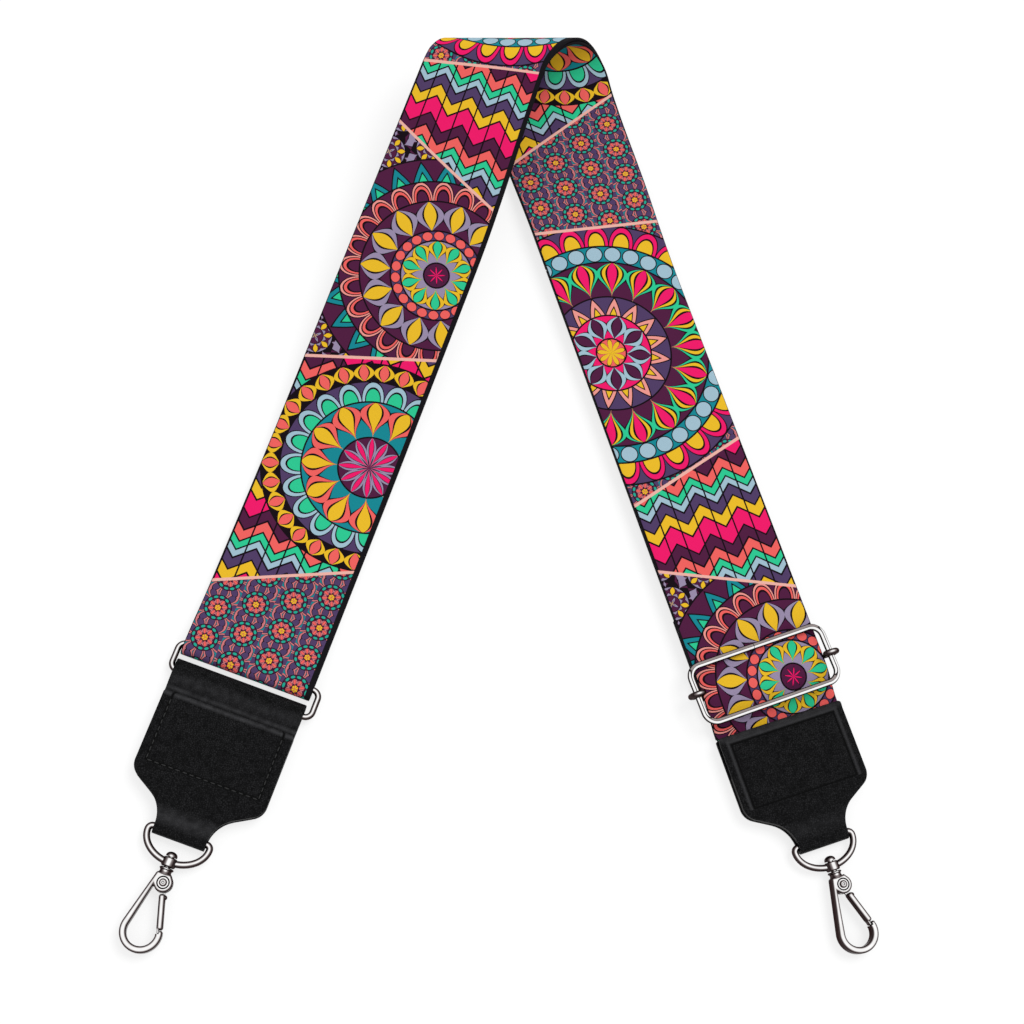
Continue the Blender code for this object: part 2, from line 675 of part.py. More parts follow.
def make_hook(side, hook):
    """The cast hook: a collar, a slotted cheek for the gate, a spine, a round end and a nose."""
    body = plate(f"{side}_hook", hook_outline(), HOOK_THICKNESS, nickel, hook)
    round_edges(body, EDGE_ROUND)
    low = COLLAR_TOP - COLLAR_LENGTH - EDGE_ROUND
    waist = COLLAR_TOP - COLLAR_LENGTH / 2
    profile = [(0, COLLAR_TOP), (COLLAR_RADIUS - EDGE_ROUND, COLLAR_TOP)]
    profile += [(COLLAR_RADIUS, COLLAR_TOP - EDGE_ROUND), (COLLAR_WAIST, waist)]
    profile += [(COLLAR_RADIUS, COLLAR_TOP - COLLAR_LENGTH), (COLLAR_WAIST, low), (0, low)]
    collar = turned(f"{side}_collar", profile, nickel, hook)
    combine(body, collar, "UNION")
    depth = COLLAR_TOP - POST_DEPTH - FIT
    bore_profile = [(0, OVERRUN), (POST_RADIUS + FIT, OVERRUN), (POST_RADIUS + FIT, depth), (0, depth)]
    bore = turned(f"{side}_collar_bore", bore_profile, nickel, hook)
    combine(body, bore, "DIFFERENCE")
    back = PIVOT.x - TONGUE_RADIUS - FIT
    ceiling = PIVOT.y + TONGUE_RADIUS + FIT
    low_corner = (back, PIVOT.y - CHEEK_RADIUS - OVERRUN, -SLOT_WIDTH / 2)
    high_corner = (PIVOT.x + CHEEK_RADIUS + OVERRUN, ceiling, SLOT_WIDTH / 2)
    combine(body, box(f"{side}_slot", low_corner, high_corner, hook), "DIFFERENCE")
    reach = HOOK_THICKNESS / 2 + OVERRUN
    hole = [(0, reach), (PIN_RADIUS + FIT, reach), (PIN_RADIUS + FIT, -reach), (0, -reach)]
    place = (PIVOT.x, PIVOT.y, 0)
    pin_hole = turned(f"{side}_pin_hole", hole, nickel, hook, place, along_y=False)
    combine(body, pin_hole, "DIFFERENCE")
    return body


def make_pin(side, hook):
    """The gate's pivot pin: a low head on the upper face of the cheek, and flush with the lower one."""
    face = HOOK_THICKNESS / 2 + FIT
    top = face + PIN_HEAD_HEIGHT
    flush = -HOOK_THICKNESS / 2
    profile = [(0, top), (PIN_RADIUS, top), (PIN_HEAD_RADIUS, face), (PIN_RADIUS, face)]
    profile += [(PIN_RADIUS, flush), (0, flush)]
    place = (PIVOT.x, PIVOT.y, 0)
    return turned(f"{side}_pin", profile, nickel, hook, place, along_y=False)


def gate_frame(along, across):
    """A point of the gate from its pivot: along towards the nose, across towards the outside."""
    outside = Vector((GATE_LINE.y, -GATE_LINE.x))
    return -along * GATE_LINE + across * outside


def make_gate(side, gate):
    """The gate: a thick blade that laps the nose, and a thin tongue on the pin in the cheek."""
    half = GATE_WIDTH / 2
    start = math.sqrt((CHEEK_RADIUS + FIT) ** 2 - half**2) + FIT
    tip = GATE_LENGTH - FIT
    lap = tip + NOSE_LAP
    nub = start + 2 * NUB_RADIUS
    corners = [(start, half), (start, -half), (lap, -half), (lap, -FIT), (tip, -FIT), (tip, half)]
    corners += [(nub + 2 * NUB_RADIUS, half), (nub + NUB_RADIUS, half + NUB_RADIUS)]
    corners += [(nub - NUB_RADIUS, half + NUB_RADIUS), (nub - 2 * NUB_RADIUS, half)]
    blade = [gate_frame(along, across) for along, across in corners[:-1]]
    body = plate(f"{side}_gate", blade, GATE_THICKNESS, nickel, gate)
    round_edges(body, EDGE_ROUND / 2, 1)
    level = -SLOT_WIDTH / 2 + FIT + TONGUE_THICKNESS / 2
    wrist = TONGUE_RADIUS / 2
    heading = math.atan2(-GATE_LINE.y, -GATE_LINE.x)
    root = math.asin(wrist / TONGUE_RADIUS)
    around = heading + 2 * math.pi - root
    head = arc((0, 0), TONGUE_RADIUS, heading + root, around, 3 * ARC_STEPS)
    reach = start + NUB_RADIUS
    arm = [gate_frame(reach, -wrist), gate_frame(reach, wrist)]
    tongue = plate(f"{side}_tongue", head + arm, TONGUE_THICKNESS, nickel, gate, centre_z=level)
    combine(body, tongue, "UNION")
    hole_reach = SLOT_WIDTH
    rim = PIN_RADIUS + FIT
    hole = [(0, hole_reach), (rim, hole_reach), (rim, -hole_reach), (0, -hole_reach)]
    eye = turned(f"{side}_gate_eye", hole, nickel, gate, along_y=False)
    combine(body, eye, "DIFFERENCE")
    return body


def make_spring(side, gate):
    """A wire spring: one turn round the pin above the tongue, one leg to the cheek, one to the gate."""
    radius = PIN_RADIUS + FIT + SPRING_WIRE
    floor = -SLOT_WIDTH / 2 + FIT + TONGUE_THICKNESS + FIT / 2 + SPRING_WIRE
    heading = math.atan2(-GATE_LINE.y, -GATE_LINE.x)
    start = heading - math.pi / 2
    turn = 2 * math.pi
    steps = 4 * ARC_STEPS
    points = []
    for angle in spread(0, turn, steps):
        spot = radius * Vector((math.cos(start + angle), math.sin(start + angle)))
        points.append((spot.x, spot.y, floor + SPRING_CLIMB * angle / turn))
    leg = Vector((*gate_frame(SPRING_LEG, 0), 0))
    first = Vector(points[0]) - leg
    last = Vector(points[-1]) + leg
    points = [first] + points + [last]
    return tube(f"{side}_gate_spring", points, SPRING_WIRE, spring_steel, gate, sides=1)


def make_end_hardware(side, axis):
    """Everything that hangs from one tab: bail, post, hook, pin, gate and spring."""
    make_bail(side, axis)
    hook = joint_empty(f"{side}_swivel_axis", (0, -BAIL_DROP, 0), axis)
    make_post(side, hook)
    make_hook(side, hook)
    make_pin(side, hook)
    gate = joint_empty(f"{side}_gate_axis", (PIVOT.x, PIVOT.y, 0), hook)
    make_gate(side, gate)
    make_spring(side, gate)


def flat_place(along, level):
    """A place on the centre line where the band lies flat."""
    point = band_point(along, 0)
    return Vector((point.x, point.y, level))


empty_scene()
parts = collection("bag_strap")
guides = collection("guides")
printed_webbing = finish("printed_webbing", (0.32, 0.10, 0.20), 0.75, 0.0)
leather = finish("black_leather", (0.012, 0.012, 0.014), 0.45, 0.0)
stiffener = finish("stiffener", (0.02, 0.02, 0.02), 0.8, 0.0)
nickel = finish("nickel_plate", (0.72, 0.70, 0.68), 0.18, 1.0)
spring_steel = finish("spring_steel", (0.5, 0.5, 0.5), 0.3, 1.0)

make_webbing()
make_webbing_return()
slider_axis = joint_empty("slider_axis", flat_place(-SLIDER_AXIS, BAR_LEVEL), turn=LEG_ANGLE)
make_webbing_tail(slider_axis)
make_slider(slider_axis)

ring_axis = joint_empty("ring_axis", flat_place(LEFT_RING_AXIS, RING_LEVEL), turn=-LEG_ANGLE)
make_ring(ring_axis)
loop_axis = joint_empty("left_loop_axis", (0, -RING_PITCH, END_LEVEL - RING_LEVEL), ring_axis)
make_leather_loop(loop_axis)
left_axis = joint_empty("left_bail_axis", (0, -LOOP_SHOWING - TAB_LENGTH, 0), loop_axis)
make_tab("left_tab", left_axis)
make_filler("left_tab_filler", left_axis, TAB_LENGTH - LOOP_TUCK - 2 * FIT)
make_end_hardware("left", left_axis)

right_axis = joint_empty("right_bail_axis", flat_place(-RIGHT_TAB_AXIS, END_LEVEL), turn=LEG_ANGLE)
make_tab("right_tab", right_axis)
make_filler("right_tab_filler", right_axis, TAB_LENGTH - HEM_LENGTH - LAYER_STEP - 2 * FIT)
make_end_hardware("right", right_axis)
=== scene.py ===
import math
from functools import partialmethod

import bpy
import numpy as np
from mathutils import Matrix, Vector


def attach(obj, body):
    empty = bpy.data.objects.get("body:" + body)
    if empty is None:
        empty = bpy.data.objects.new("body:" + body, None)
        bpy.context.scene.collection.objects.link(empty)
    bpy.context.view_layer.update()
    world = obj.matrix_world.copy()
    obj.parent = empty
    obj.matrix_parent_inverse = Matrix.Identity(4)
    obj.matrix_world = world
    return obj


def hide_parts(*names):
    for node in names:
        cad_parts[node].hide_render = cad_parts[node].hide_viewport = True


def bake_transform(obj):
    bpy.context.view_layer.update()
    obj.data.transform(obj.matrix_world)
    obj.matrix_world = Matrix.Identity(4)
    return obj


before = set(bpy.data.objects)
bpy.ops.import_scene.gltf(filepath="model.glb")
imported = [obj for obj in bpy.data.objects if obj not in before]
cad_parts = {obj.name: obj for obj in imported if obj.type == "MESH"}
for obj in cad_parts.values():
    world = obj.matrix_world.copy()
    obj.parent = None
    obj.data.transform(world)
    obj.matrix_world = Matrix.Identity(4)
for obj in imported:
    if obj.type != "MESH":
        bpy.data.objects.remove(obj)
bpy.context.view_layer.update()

bpy.ops.object.select_all(action="DESELECT")


# Camera, lamps and table
# The strap lies on a white table and is seen from above, a little from its lower left corner.
# One broad soft lamp and an even white room light it.
bpy.ops.object.camera_add(
    location=(-0.07582, -0.22426, 0.65453), rotation=(0.30511, -0.11862, 0.00476)
)
camera = bpy.context.object
camera.data.sensor_width = 36
camera.data.lens = 63.27
bpy.context.scene.camera = camera
bpy.context.scene.view_settings.view_transform = "Standard"

ROOM_LIGHT = 0.66
LAMP_LIGHT = 1.35
LAMP_SPREAD = math.radians(35)
TABLE_HALF = 3.0
TABLE_DROP = 0.0004
TABLE_GLOW = 0.74


def seen_level(tree, lowest, highest):
    """The highest level for what is seen, straight or reflected, and the lowest for what lights."""
    rays = tree.nodes.new("ShaderNodeLightPath")
    seen = rays.outputs["Is Camera Ray"]
    for kind in ("Is Glossy Ray", "Is Transmission Ray"):
        either = tree.nodes.new("ShaderNodeMath")
        either.operation = "ADD"
        either.use_clamp = True
        tree.links.new(seen, either.inputs[0])
        tree.links.new(rays.outputs[kind], either.inputs[1])
        seen = either.outputs[0]
    level = tree.nodes.new("ShaderNodeMapRange")
    level.inputs["To Min"].default_value = lowest
    level.inputs["To Max"].default_value = highest
    tree.links.new(seen, level.inputs["Value"])
    return level.outputs["Result"]


def new_finish(name, settings):
    """A new material with its plain settings, its tree and its shader."""
    finish = bpy.data.materials.new(name)
    finish.use_nodes = True
    shader = finish.node_tree.nodes["Principled BSDF"]
    for setting, value in settings.items():
        shader.inputs[setting].default_value = value
    return finish, finish.node_tree, shader


room = bpy.data.worlds.new("white_room")
bpy.context.scene.world = room
room.use_nodes = True
backdrop = room.node_tree.nodes["Background"]
backdrop.inputs["Color"].default_value = (1, 1, 1, 1)
room_level = seen_level(room.node_tree, ROOM_LIGHT, 1.0)
room.node_tree.links.new(room_level, backdrop.inputs["Strength"])

bpy.ops.object.light_add(type="SUN", rotation=(math.radians(-24), math.radians(28), 0))
lamp = bpy.context.object
lamp.data.energy = LAMP_LIGHT
lamp.data.angle = LAMP_SPREAD
lamp.visible_glossy = False

bpy.ops.mesh.primitive_plane_add(size=2 * TABLE_HALF, location=(0, 0, -TABLE_DROP))
table = bpy.context.object
table.name = "table"
bpy.ops.object.transform_apply(location=True)
paper, tree, shader = new_finish("white_table", {
    "Base Color": (0.30, 0.30, 0.30, 1), "Roughness": 0.9, "Specular IOR Level": 0.0,
    "Emission Color": (1, 1, 1, 1),
})
tree.links.new(seen_level(tree, 0.0, TABLE_GLOW), shader.inputs["Emission Strength"])
table.data.materials.append(paper)


# Printed webbing
# One long woven polyester band, 50 mm wide, printed on its face and plain black on its back. It
# runs from the right tab over the slider and the bend, round the ring, and back under itself.
BAND_WIDTH = 0.050
BAND_THICKNESS = 0.0012
LAYER_STEP = 0.0015
GAP = 0.0003
LEG_ANGLE = math.radians(18.9)
LOOP_LENGTH = 0.050
LOOP_SHIFT = 0.0086
LOOP_START_Y = 0.16295
APEX_X = 0.0005
SLOPE_ANGLE = math.radians(8.4)
LANDING_LENGTH = 0.050
ROUTE_STEPS = 1500
FOLD_DELAY = 0.19
FOLD_LEAN = 0.104
FOLD_DROP = 0.0025
FOLD_SPREAD = 0.00845
FOLD_REACH = 0.11
LOOP_TO_LIFT = 0.0039
LIFT_RUN = 0.045
LIFT_TO_RETURN = 0.017
SLIDER_AXIS = 0.2815
SLIDER_TO_TAB = 0.0177
TAB_LENGTH = 0.0465
FLAT_RUN = 0.0257
RING_OPENING = 0.024
RING_WIRE = 0.00115
FOLD_SLACK = 0.00175
SLIDER_WIRE = 0.00125
SLIDER_BAR_WIRE = 0.0008
HEM_LENGTH = 0.0130
HEM_END_INSET = 0.0025
HEM_SHARE = 0.94
END_LEVEL = 0.00265
BAR_SLEEVE = SLIDER_BAR_WIRE + GAP + BAND_THICKNESS / 2
BAR_LEVEL = BAR_SLEEVE + BAND_THICKNESS / 2
SLIDER_LIFT = BAR_LEVEL + BAR_SLEEVE - BAND_THICKNESS / 2
TOP_LAYER_LEVEL = SLIDER_LIFT + BAND_THICKNESS / 2 + LAYER_STEP
FRAME_LEVEL = TOP_LAYER_LEVEL + BAND_THICKNESS / 2 + GAP + SLIDER_WIRE
RING_SLEEVE = RING_WIRE + GAP + BAND_THICKNESS / 2
RING_LEVEL = BAND_THICKNESS / 2 + RING_SLEEVE
RIGHT_TAB_AXIS = SLIDER_AXIS + SLIDER_TO_TAB + TAB_LENGTH
LEG_TILT = BAND_WIDTH / 2 * math.tan(LEG_ANGLE)
LOOP_END = LOOP_LENGTH / 2 / math.cos(LEG_ANGLE) + LEG_TILT
LIFT_START = LOOP_END + LOOP_TO_LIFT
LIFT_END = LIFT_START + LIFT_RUN
RETURN_START = LIFT_END + LIFT_TO_RETURN
BAND_COLUMNS = 24
SHEET_RIM = 0.0003
RIM_TURN = math.radians(60)


def smooth(share):
    share = np.clip(share, 0, 1)
    return share * share * (3 - 2 * share)


def ease(place, start, end):
    """A smooth climb from 0 at the start to 1 at the end."""
    return float(smooth((place - start) / (end - start)))


def spread(first, last, steps):
    return [first + (last - first) * i / steps for i in range(steps + 1)]


def route_table():
    """The inner layer's path over the bend from the side: length, y, z and heading."""
    shares = smooth((np.arange(ROUTE_STEPS) + 0.5) / ROUTE_STEPS)
    fall = LANDING_LENGTH * np.mean(np.sin(SLOPE_ANGLE * (1 - shares)))
    rise = LOOP_LENGTH * np.mean(np.sin((math.pi + SLOPE_ANGLE) * shares))
    slope = (rise + LAYER_STEP - fall) / math.sin(SLOPE_ANGLE)
    total = LOOP_LENGTH + slope + LANDING_LENGTH
    along = np.array(spread(0, total, ROUTE_STEPS))
    heading = (math.pi + SLOPE_ANGLE) * smooth(along / LOOP_LENGTH)
    heading -= SLOPE_ANGLE * smooth((along - LOOP_LENGTH - slope) / LANDING_LENGTH)
    middle = (heading[1:] + heading[:-1]) / 2
    piece = total / ROUTE_STEPS
    y = LOOP_START_Y + np.concatenate([[0], np.cumsum(np.cos(middle)) * piece])
    z = np.concatenate([[0], np.cumsum(np.sin(middle)) * piece])
    z += BAND_THICKNESS / 2 + LAYER_STEP
    return along, y, z, heading, slope


ROUTE_LENGTH, ROUTE_Y, ROUTE_Z, ROUTE_HEADING, SLOPE_LENGTH = route_table()
LAND_START = (LOOP_LENGTH / 2 + SLOPE_LENGTH) / math.cos(LEG_ANGLE) - LEG_TILT
LAND_END = LAND_START + LANDING_LENGTH / math.cos(LEG_ANGLE) + 2 * LEG_TILT
CLOSED_END = LAND_END + FLAT_RUN
LEFT_RING_AXIS = CLOSED_END + RING_OPENING + RING_WIRE


def band_point(along, across, outward=0.0):
    length = LOOP_LENGTH / 2 + along * math.cos(LEG_ANGLE) + across * math.sin(LEG_ANGLE)
    x = APEX_X - along * math.sin(LEG_ANGLE) + across * math.cos(LEG_ANGLE)
    share = smooth((length / LOOP_LENGTH - FOLD_DELAY) / (1 - FOLD_DELAY)) - 0.5
    near = 1 - smooth(abs(length - LOOP_LENGTH / 2) / FOLD_REACH)
    x -= share * (LOOP_SHIFT + FOLD_SPREAD * near * (0.5 + across / BAND_WIDTH))
    y = np.interp(length, ROUTE_LENGTH, ROUTE_Y) + min(length, 0)
    y -= max(length - ROUTE_LENGTH[-1], 0)
    z = np.interp(length, ROUTE_LENGTH, ROUTE_Z)
    heading = np.interp(length, ROUTE_LENGTH, ROUTE_HEADING)
    y += (FOLD_LEAN * (x - APEX_X) - FOLD_DROP) * max(0.0, math.sin(heading))
    return Vector((x, y + outward * math.sin(heading), z - outward * math.cos(heading)))


def band_row(along, level=None, outward=0.0, rise=0.0):
    row = []
    for across in spread(-BAND_WIDTH / 2, BAND_WIDTH / 2, BAND_COLUMNS):
        point = band_point(along, across, outward)
        if level is not None:
            point.z = level
        point.z += rise
        row.append(point)
    return row


def fold_rows(along, level, radius, side, steps=14):
    rows = []
    for angle in spread(0, math.pi, steps):
        place = along + side * radius * math.sin(angle)
        rows.append(band_row(place, level - radius * math.cos(angle)))
    return rows


def right_lift(along):
    return SLIDER_LIFT * ease(-along, LIFT_START, LIFT_END)


def primitive(name, add, **settings):
    """A primitive added by itself, ready to be shaped."""
    bpy.ops.object.select_all(action="DESELECT")
    add(**settings)
    bpy.context.object.name = name
    return bpy.context.object


def reshape(piece, kind, **settings):
    """Shapes the active piece by one modifier and applies it."""
    change = piece.modifiers.new("shape", kind)
    for setting, value in settings.items():
        setattr(change, setting, value)
    bpy.ops.object.modifier_apply(modifier=change.name)


def laid_sheet(name, rows, thickness, start=0.0):
    """A grid laid along its rows and given its thickness, with u across and v along it in metres.
    Its first material is for the face, and its second for the back and the rims."""
    across, along = len(rows[0]) - 1, len(rows) - 1
    add = bpy.ops.mesh.primitive_grid_add
    piece = primitive(name, add, x_subdivisions=across, y_subdivisions=along, size=1)
    mesh = piece.data
    mesh.vertices.foreach_set("co", np.array([p for row in rows for p in row]).ravel())
    middle = [row[len(row) // 2] for row in rows]
    lengths = np.cumsum([start] + [(b - a).length for a, b in zip(middle, middle[1:])])
    shares = spread(-BAND_WIDTH / 2, BAND_WIDTH / 2, across)
    ends = [loop.vertex_index for loop in mesh.loops]
    uv = [(shares[i % (across + 1)], lengths[i // (across + 1)]) for i in ends]
    mesh.uv_layers.active.data.foreach_set("uv", np.array(uv).ravel())
    mesh.shade_smooth()
    mesh.materials.append(None)
    mesh.materials.append(None)
    reshape(
        piece, "SOLIDIFY", thickness=thickness, offset=0, use_even_offset=True,
        material_offset=1, material_offset_rim=1,
    )
    reshape(
        piece, "BEVEL", width=SHEET_RIM, segments=2, limit_method="ANGLE",
        angle_limit=RIM_TURN, material=1,
    )
    bpy.ops.object.shade_smooth_by_angle(angle=math.radians(50))
    return piece, lengths[-1]


def cover_sheet(piece, face, back):
    piece.data.materials[0] = face
    piece.data.materials[1] = back


lift = spread(-LIFT_END, -LIFT_START, 16)
loop = spread(-LOOP_END, LOOP_END, 64)
slope = spread(LOOP_END, LAND_START, 36)[1:]
landing = spread(LAND_START, LAND_END, 24)[1:]
bend = loop + slope + landing
tab_top = -(RIGHT_TAB_AXIS - TAB_LENGTH)
hem_radius = LAYER_STEP / 2
hem = tab_top - HEM_LENGTH
hem_low = END_LEVEL - hem_radius
clear = -(SLIDER_AXIS + BAR_SLEEVE + GAP)
straight = spread(clear, -LIFT_END, 60)[1:-1]
rows = [band_row(tab_top - HEM_END_INSET, END_LEVEL + hem_radius)]
rows += fold_rows(hem, END_LEVEL, hem_radius, -1)[::-1]
rows.append(band_row(tab_top - HEM_END_INSET / 2, hem_low))
for row in rows:
    middle = row[len(row) // 2].copy()
    row[:] = [middle + HEM_SHARE * (point - middle) for point in row]
for place in spread(tab_top + GAP, clear, 14):
    climb = (TOP_LAYER_LEVEL - hem_low) * ease(place, tab_top, clear)
    rows.append(band_row(place, hem_low + climb))
rows += [band_row(place, TOP_LAYER_LEVEL) for place in straight]
rows += [band_row(place, rise=right_lift(place)) for place in lift]
rows += [band_row(place) for place in bend]
rows += [band_row(place) for place in spread(LAND_END, LEFT_RING_AXIS, 20)[1:-1]]
rows += fold_rows(LEFT_RING_AXIS + FOLD_SLACK, RING_LEVEL, RING_SLEEVE, 1)
upper = BAND_THICKNESS / 2 + LAYER_STEP
for place in spread(LEFT_RING_AXIS - RING_WIRE - GAP, CLOSED_END, 14):
    drop = (RING_LEVEL + RING_SLEEVE - upper) * ease(place, CLOSED_END, CLOSED_END + RING_OPENING)
    rows.append(band_row(place, upper + drop))
rows += [band_row(place, outward=LAYER_STEP) for place in spread(CLOSED_END, LAND_END, 10)[1:-1]]
rows += [band_row(place, outward=LAYER_STEP) for place in bend[::-1]]
rows += [band_row(place, outward=LAYER_STEP, rise=right_lift(place)) for place in lift[::-1]]
rows.append(band_row(-RETURN_START, outward=LAYER_STEP, rise=SLIDER_LIFT))
webbing, printed_length = laid_sheet("printed_webbing", rows, BAND_THICKNESS)

ends = (-RETURN_START - GAP, -(SLIDER_AXIS - BAR_SLEEVE - GAP))
rows = [band_row(end, outward=LAYER_STEP, rise=SLIDER_LIFT) for end in spread(*ends, 40)]
returning, returned_length = laid_sheet(
    "webbing_lower_layer", rows, BAND_THICKNESS, start=printed_length
)


def put(value, slot):
    """Fills a slot with a worked-out value, a plain colour or a plain number."""
    if isinstance(value, Value):
        value.tree.links.new(value.socket, slot)
    else:
        slot.default_value = (*value, 1) if isinstance(value, tuple) else value


class Value:
    """A number or a colour that nodes work out for each point of a surface."""

    def __init__(self, tree, socket):
        self.tree, self.socket = tree, socket

    def calc(self, operation, *others):
        node = self.tree.nodes.new("ShaderNodeMath")
        node.operation = operation
        for slot, value in zip(node.inputs, (self, *others)):
            put(value, slot)
        return Value(self.tree, node.outputs[0])

    __add__ = partialmethod(calc, "ADD")
    __sub__ = partialmethod(calc, "SUBTRACT")
    __mul__ = partialmethod(calc, "MULTIPLY")
    __truediv__ = partialmethod(calc, "DIVIDE")
    __abs__ = partialmethod(calc, "ABSOLUTE")
    __lt__ = partialmethod(calc, "LESS_THAN")
    __gt__ = partialmethod(calc, "GREATER_THAN")
    least = partialmethod(calc, "MINIMUM")
    most = partialmethod(calc, "MAXIMUM")

    def __rsub__(self, other):
        return self * -1.0 + other

    def blend(self, kind, share, under, over):
        node = self.tree.nodes.new("ShaderNodeMix")
        node.data_type = "RGBA"
        node.blend_type = kind
        for slot, value in ((0, share), (6, under), (7, over)):
            put(value, node.inputs[slot])
        return Value(self.tree, node.outputs[2])

    def paint(self, under, over):
        """One colour laid over another where this mask is 1."""
        return self.blend("MIX", self, under, over)

    def shade(self, colour):
        """A colour multiplied by this tone."""
        return self.blend("MULTIPLY", 1.0, colour, self)

    def bands(self, stops, kind="CONSTANT"):
        """Bands of colour set by this value from 0 to 1."""
        node = self.tree.nodes.new("ShaderNodeValToRGB")
        ramp = node.color_ramp
        ramp.interpolation = kind
        while len(ramp.elements) < len(stops):
            ramp.elements.new(1.0)
        for element, (place, colour) in zip(ramp.elements, stops):
            element.position = place
            element.color = (*colour, 1)
        put(self, node.inputs[0])
        return Value(self.tree, node.outputs[0])

    def emboss(self, shader, strength, distance):
        """Raises the surface by this value, for the light alone."""
        node = self.tree.nodes.new("ShaderNodeBump")
        node.inputs["Strength"].default_value = strength
        node.inputs["Distance"].default_value = distance
        put(self, node.inputs["Height"])
        self.tree.links.new(node.outputs[0], shader.inputs["Normal"])


def sheet_place(tree):
    """Where a point lies across and along its sheet, in millimetres."""
    layout = tree.nodes.new("ShaderNodeUVMap")
    layout.uv_map = "UVMap"
    parts = tree.nodes.new("ShaderNodeSeparateXYZ")
    tree.links.new(layout.outputs[0], parts.inputs[0])
    return [Value(tree, part) * 1000.0 for part in parts.outputs[:2]]


INK = (0.008, 0.004, 0.007)
PLUM = (0.085, 0.014, 0.055)
PURPLE = (0.085, 0.050, 0.135)
MAGENTA = (0.90, 0.012, 0.150)
CORAL = (0.90, 0.130, 0.120)
SALMON = (0.88, 0.330, 0.290)
GOLD = (0.86, 0.520, 0.025)
TEAL = (0.010, 0.250, 0.300)
MINT = (0.030, 0.600, 0.300)
LILAC = (0.330, 0.270, 0.410)
SKY = (0.370, 0.540, 0.640)
ROSE_PINK = (0.62, 0.190, 0.210)
SEA = (0.020, 0.400, 0.300)
PINK_LINE = (0.88, 0.47, 0.40)
PLAIN_BLACK = (0.008, 0.007, 0.009)
MEDALLION_LINE = 0.32
MOTIF_LINE = 0.14


def petals(turn, radius, ring):
    """One ring of a rosette: a motif repeated round it, coloured from its middle outwards."""
    inner, outer, count, phase, shape, fullness, stops = ring
    side = abs((turn * count + phase).calc("FRACT") - 0.5) * 2.0
    share = (radius - inner) / (outer - inner)
    if shape == "petal":
        value = side / (share * math.pi).calc("SINE").most(0.02)
    elif shape == "leaf":
        value = side / (share * share * (1.0 - share) * 6.75).most(0.02)
    elif shape == "arch":
        value = side * side + share * share
    elif shape == "spike":
        value = side + share
    else:
        beyond = share * 2.0 - 1.0
        value = (side * side + beyond * beyond).calc("SQRT")
    return (value * fullness).bands(stops)


def rosette(across, along, centre, rings, ground, line=MEDALLION_LINE):
    """A round medallion of rings about a centre, laid over a ground."""
    dx, dy = across - centre[0], along - centre[1]
    radius = (dx * dx + dy * dy).calc("SQRT")
    turn = dy.calc("ARCTAN2", dx) / (2 * math.pi)
    colour = ground
    for ring in rings:
        colour = (radius < ring[1]).paint(colour, petals(turn, radius, ring))
        colour = radius.calc("COMPARE", ring[1], line).paint(colour, INK)
    return colour


def field(across, along, pitch, rings, ground):
    """Small rosettes in staggered columns."""
    column = (across / pitch).calc("FLOOR")
    dx = across - (column * pitch + pitch / 2)
    dy = (column * (pitch / 2) + along).calc("WRAP", pitch / 2, -pitch / 2)
    return rosette(dx, dy, (0.0, 0.0), rings, ground, MOTIF_LINE)


def nest(*colours):
    """Stops for a motif: its colours from the middle outwards with ink lines between, then the
    last colour as the ground."""
    places = {2: (0.5,), 3: (0.22, 0.5), 4: (0.16, 0.34, 0.52)}[len(colours)]
    stops = [(0.0, colours[0])]
    for place, colour in zip(places, colours[1:]):
        stops += [(place, INK), (place + 0.07, colour)]
    return stops


BLOCK_LENGTH = 375.0
BLOCKS = ((0.0, 0.35), (83.0, -0.42), (128.0, 0.30), (236.0, -0.15), (283.0, 0.45))
BLOCK_LINE = 0.62
FLOWER_PITCH = 12.5
STAR_PITCH = 16.0
ROSE_CENTRE = (11.0, 40.0)
SUNBURST_CENTRE = (-12.0, 183.0)
SHELL_CENTRE = (14.0, 334.0)
ZIGZAG_HALF = 7.0
ZIGZAG_SLOPE = 0.9
ZIGZAG_LINE = 0.3
CHEVRON_PITCH = 34.0
SELVAGE = 2.0
SELVAGE_START = 200.0
SELVAGE_GROWTH = 0.0075
BEND_PLACES = (340.0, 910.0)
BEND_SELVAGE = 1.3
BEND_FADE = 0.05
WARP_PITCH = 0.75
WEFT_PITCH = 0.60

ROSE = [
    (38.0, 47.0, 26, 0.0, "spike", 0.6, nest(MINT, TEAL, PLUM)),
    (30.0, 38.0, 24, 0.5, "arch", 0.55, nest(PLUM, CORAL, SALMON, PLUM)),
    (18.0, 30.0, 14, 0.0, "petal", 0.5, nest(GOLD, LILAC, PLUM)),
    (14.0, 18.0, 22, 0.0, "dot", 0.6, nest(CORAL, PURPLE)),
    (5.0, 14.0, 10, 0.5, "leaf", 0.5, nest(MINT, GOLD, LILAC)),
    (0.0, 5.0, 8, 0.0, "spike", 0.7, nest(MAGENTA, PLUM)),
]
SUNBURST = [
    (46.0, 55.0, 30, 0.0, "arch", 0.55, nest(GOLD, MAGENTA, PURPLE)),
    (39.0, 46.0, 36, 0.5, "dot", 0.6, nest(SKY, TEAL)),
    (24.0, 39.0, 18, 0.0, "leaf", 0.5, nest(MAGENTA, GOLD, MINT, PLUM)),
    (16.0, 24.0, 16, 0.5, "spike", 0.55, nest(GOLD, SALMON, PURPLE)),
    (6.0, 16.0, 9, 0.0, "petal", 0.5, nest(PLUM, SKY, MAGENTA)),
    (0.0, 6.0, 9, 0.5, "arch", 0.6, nest(GOLD, CORAL)),
]
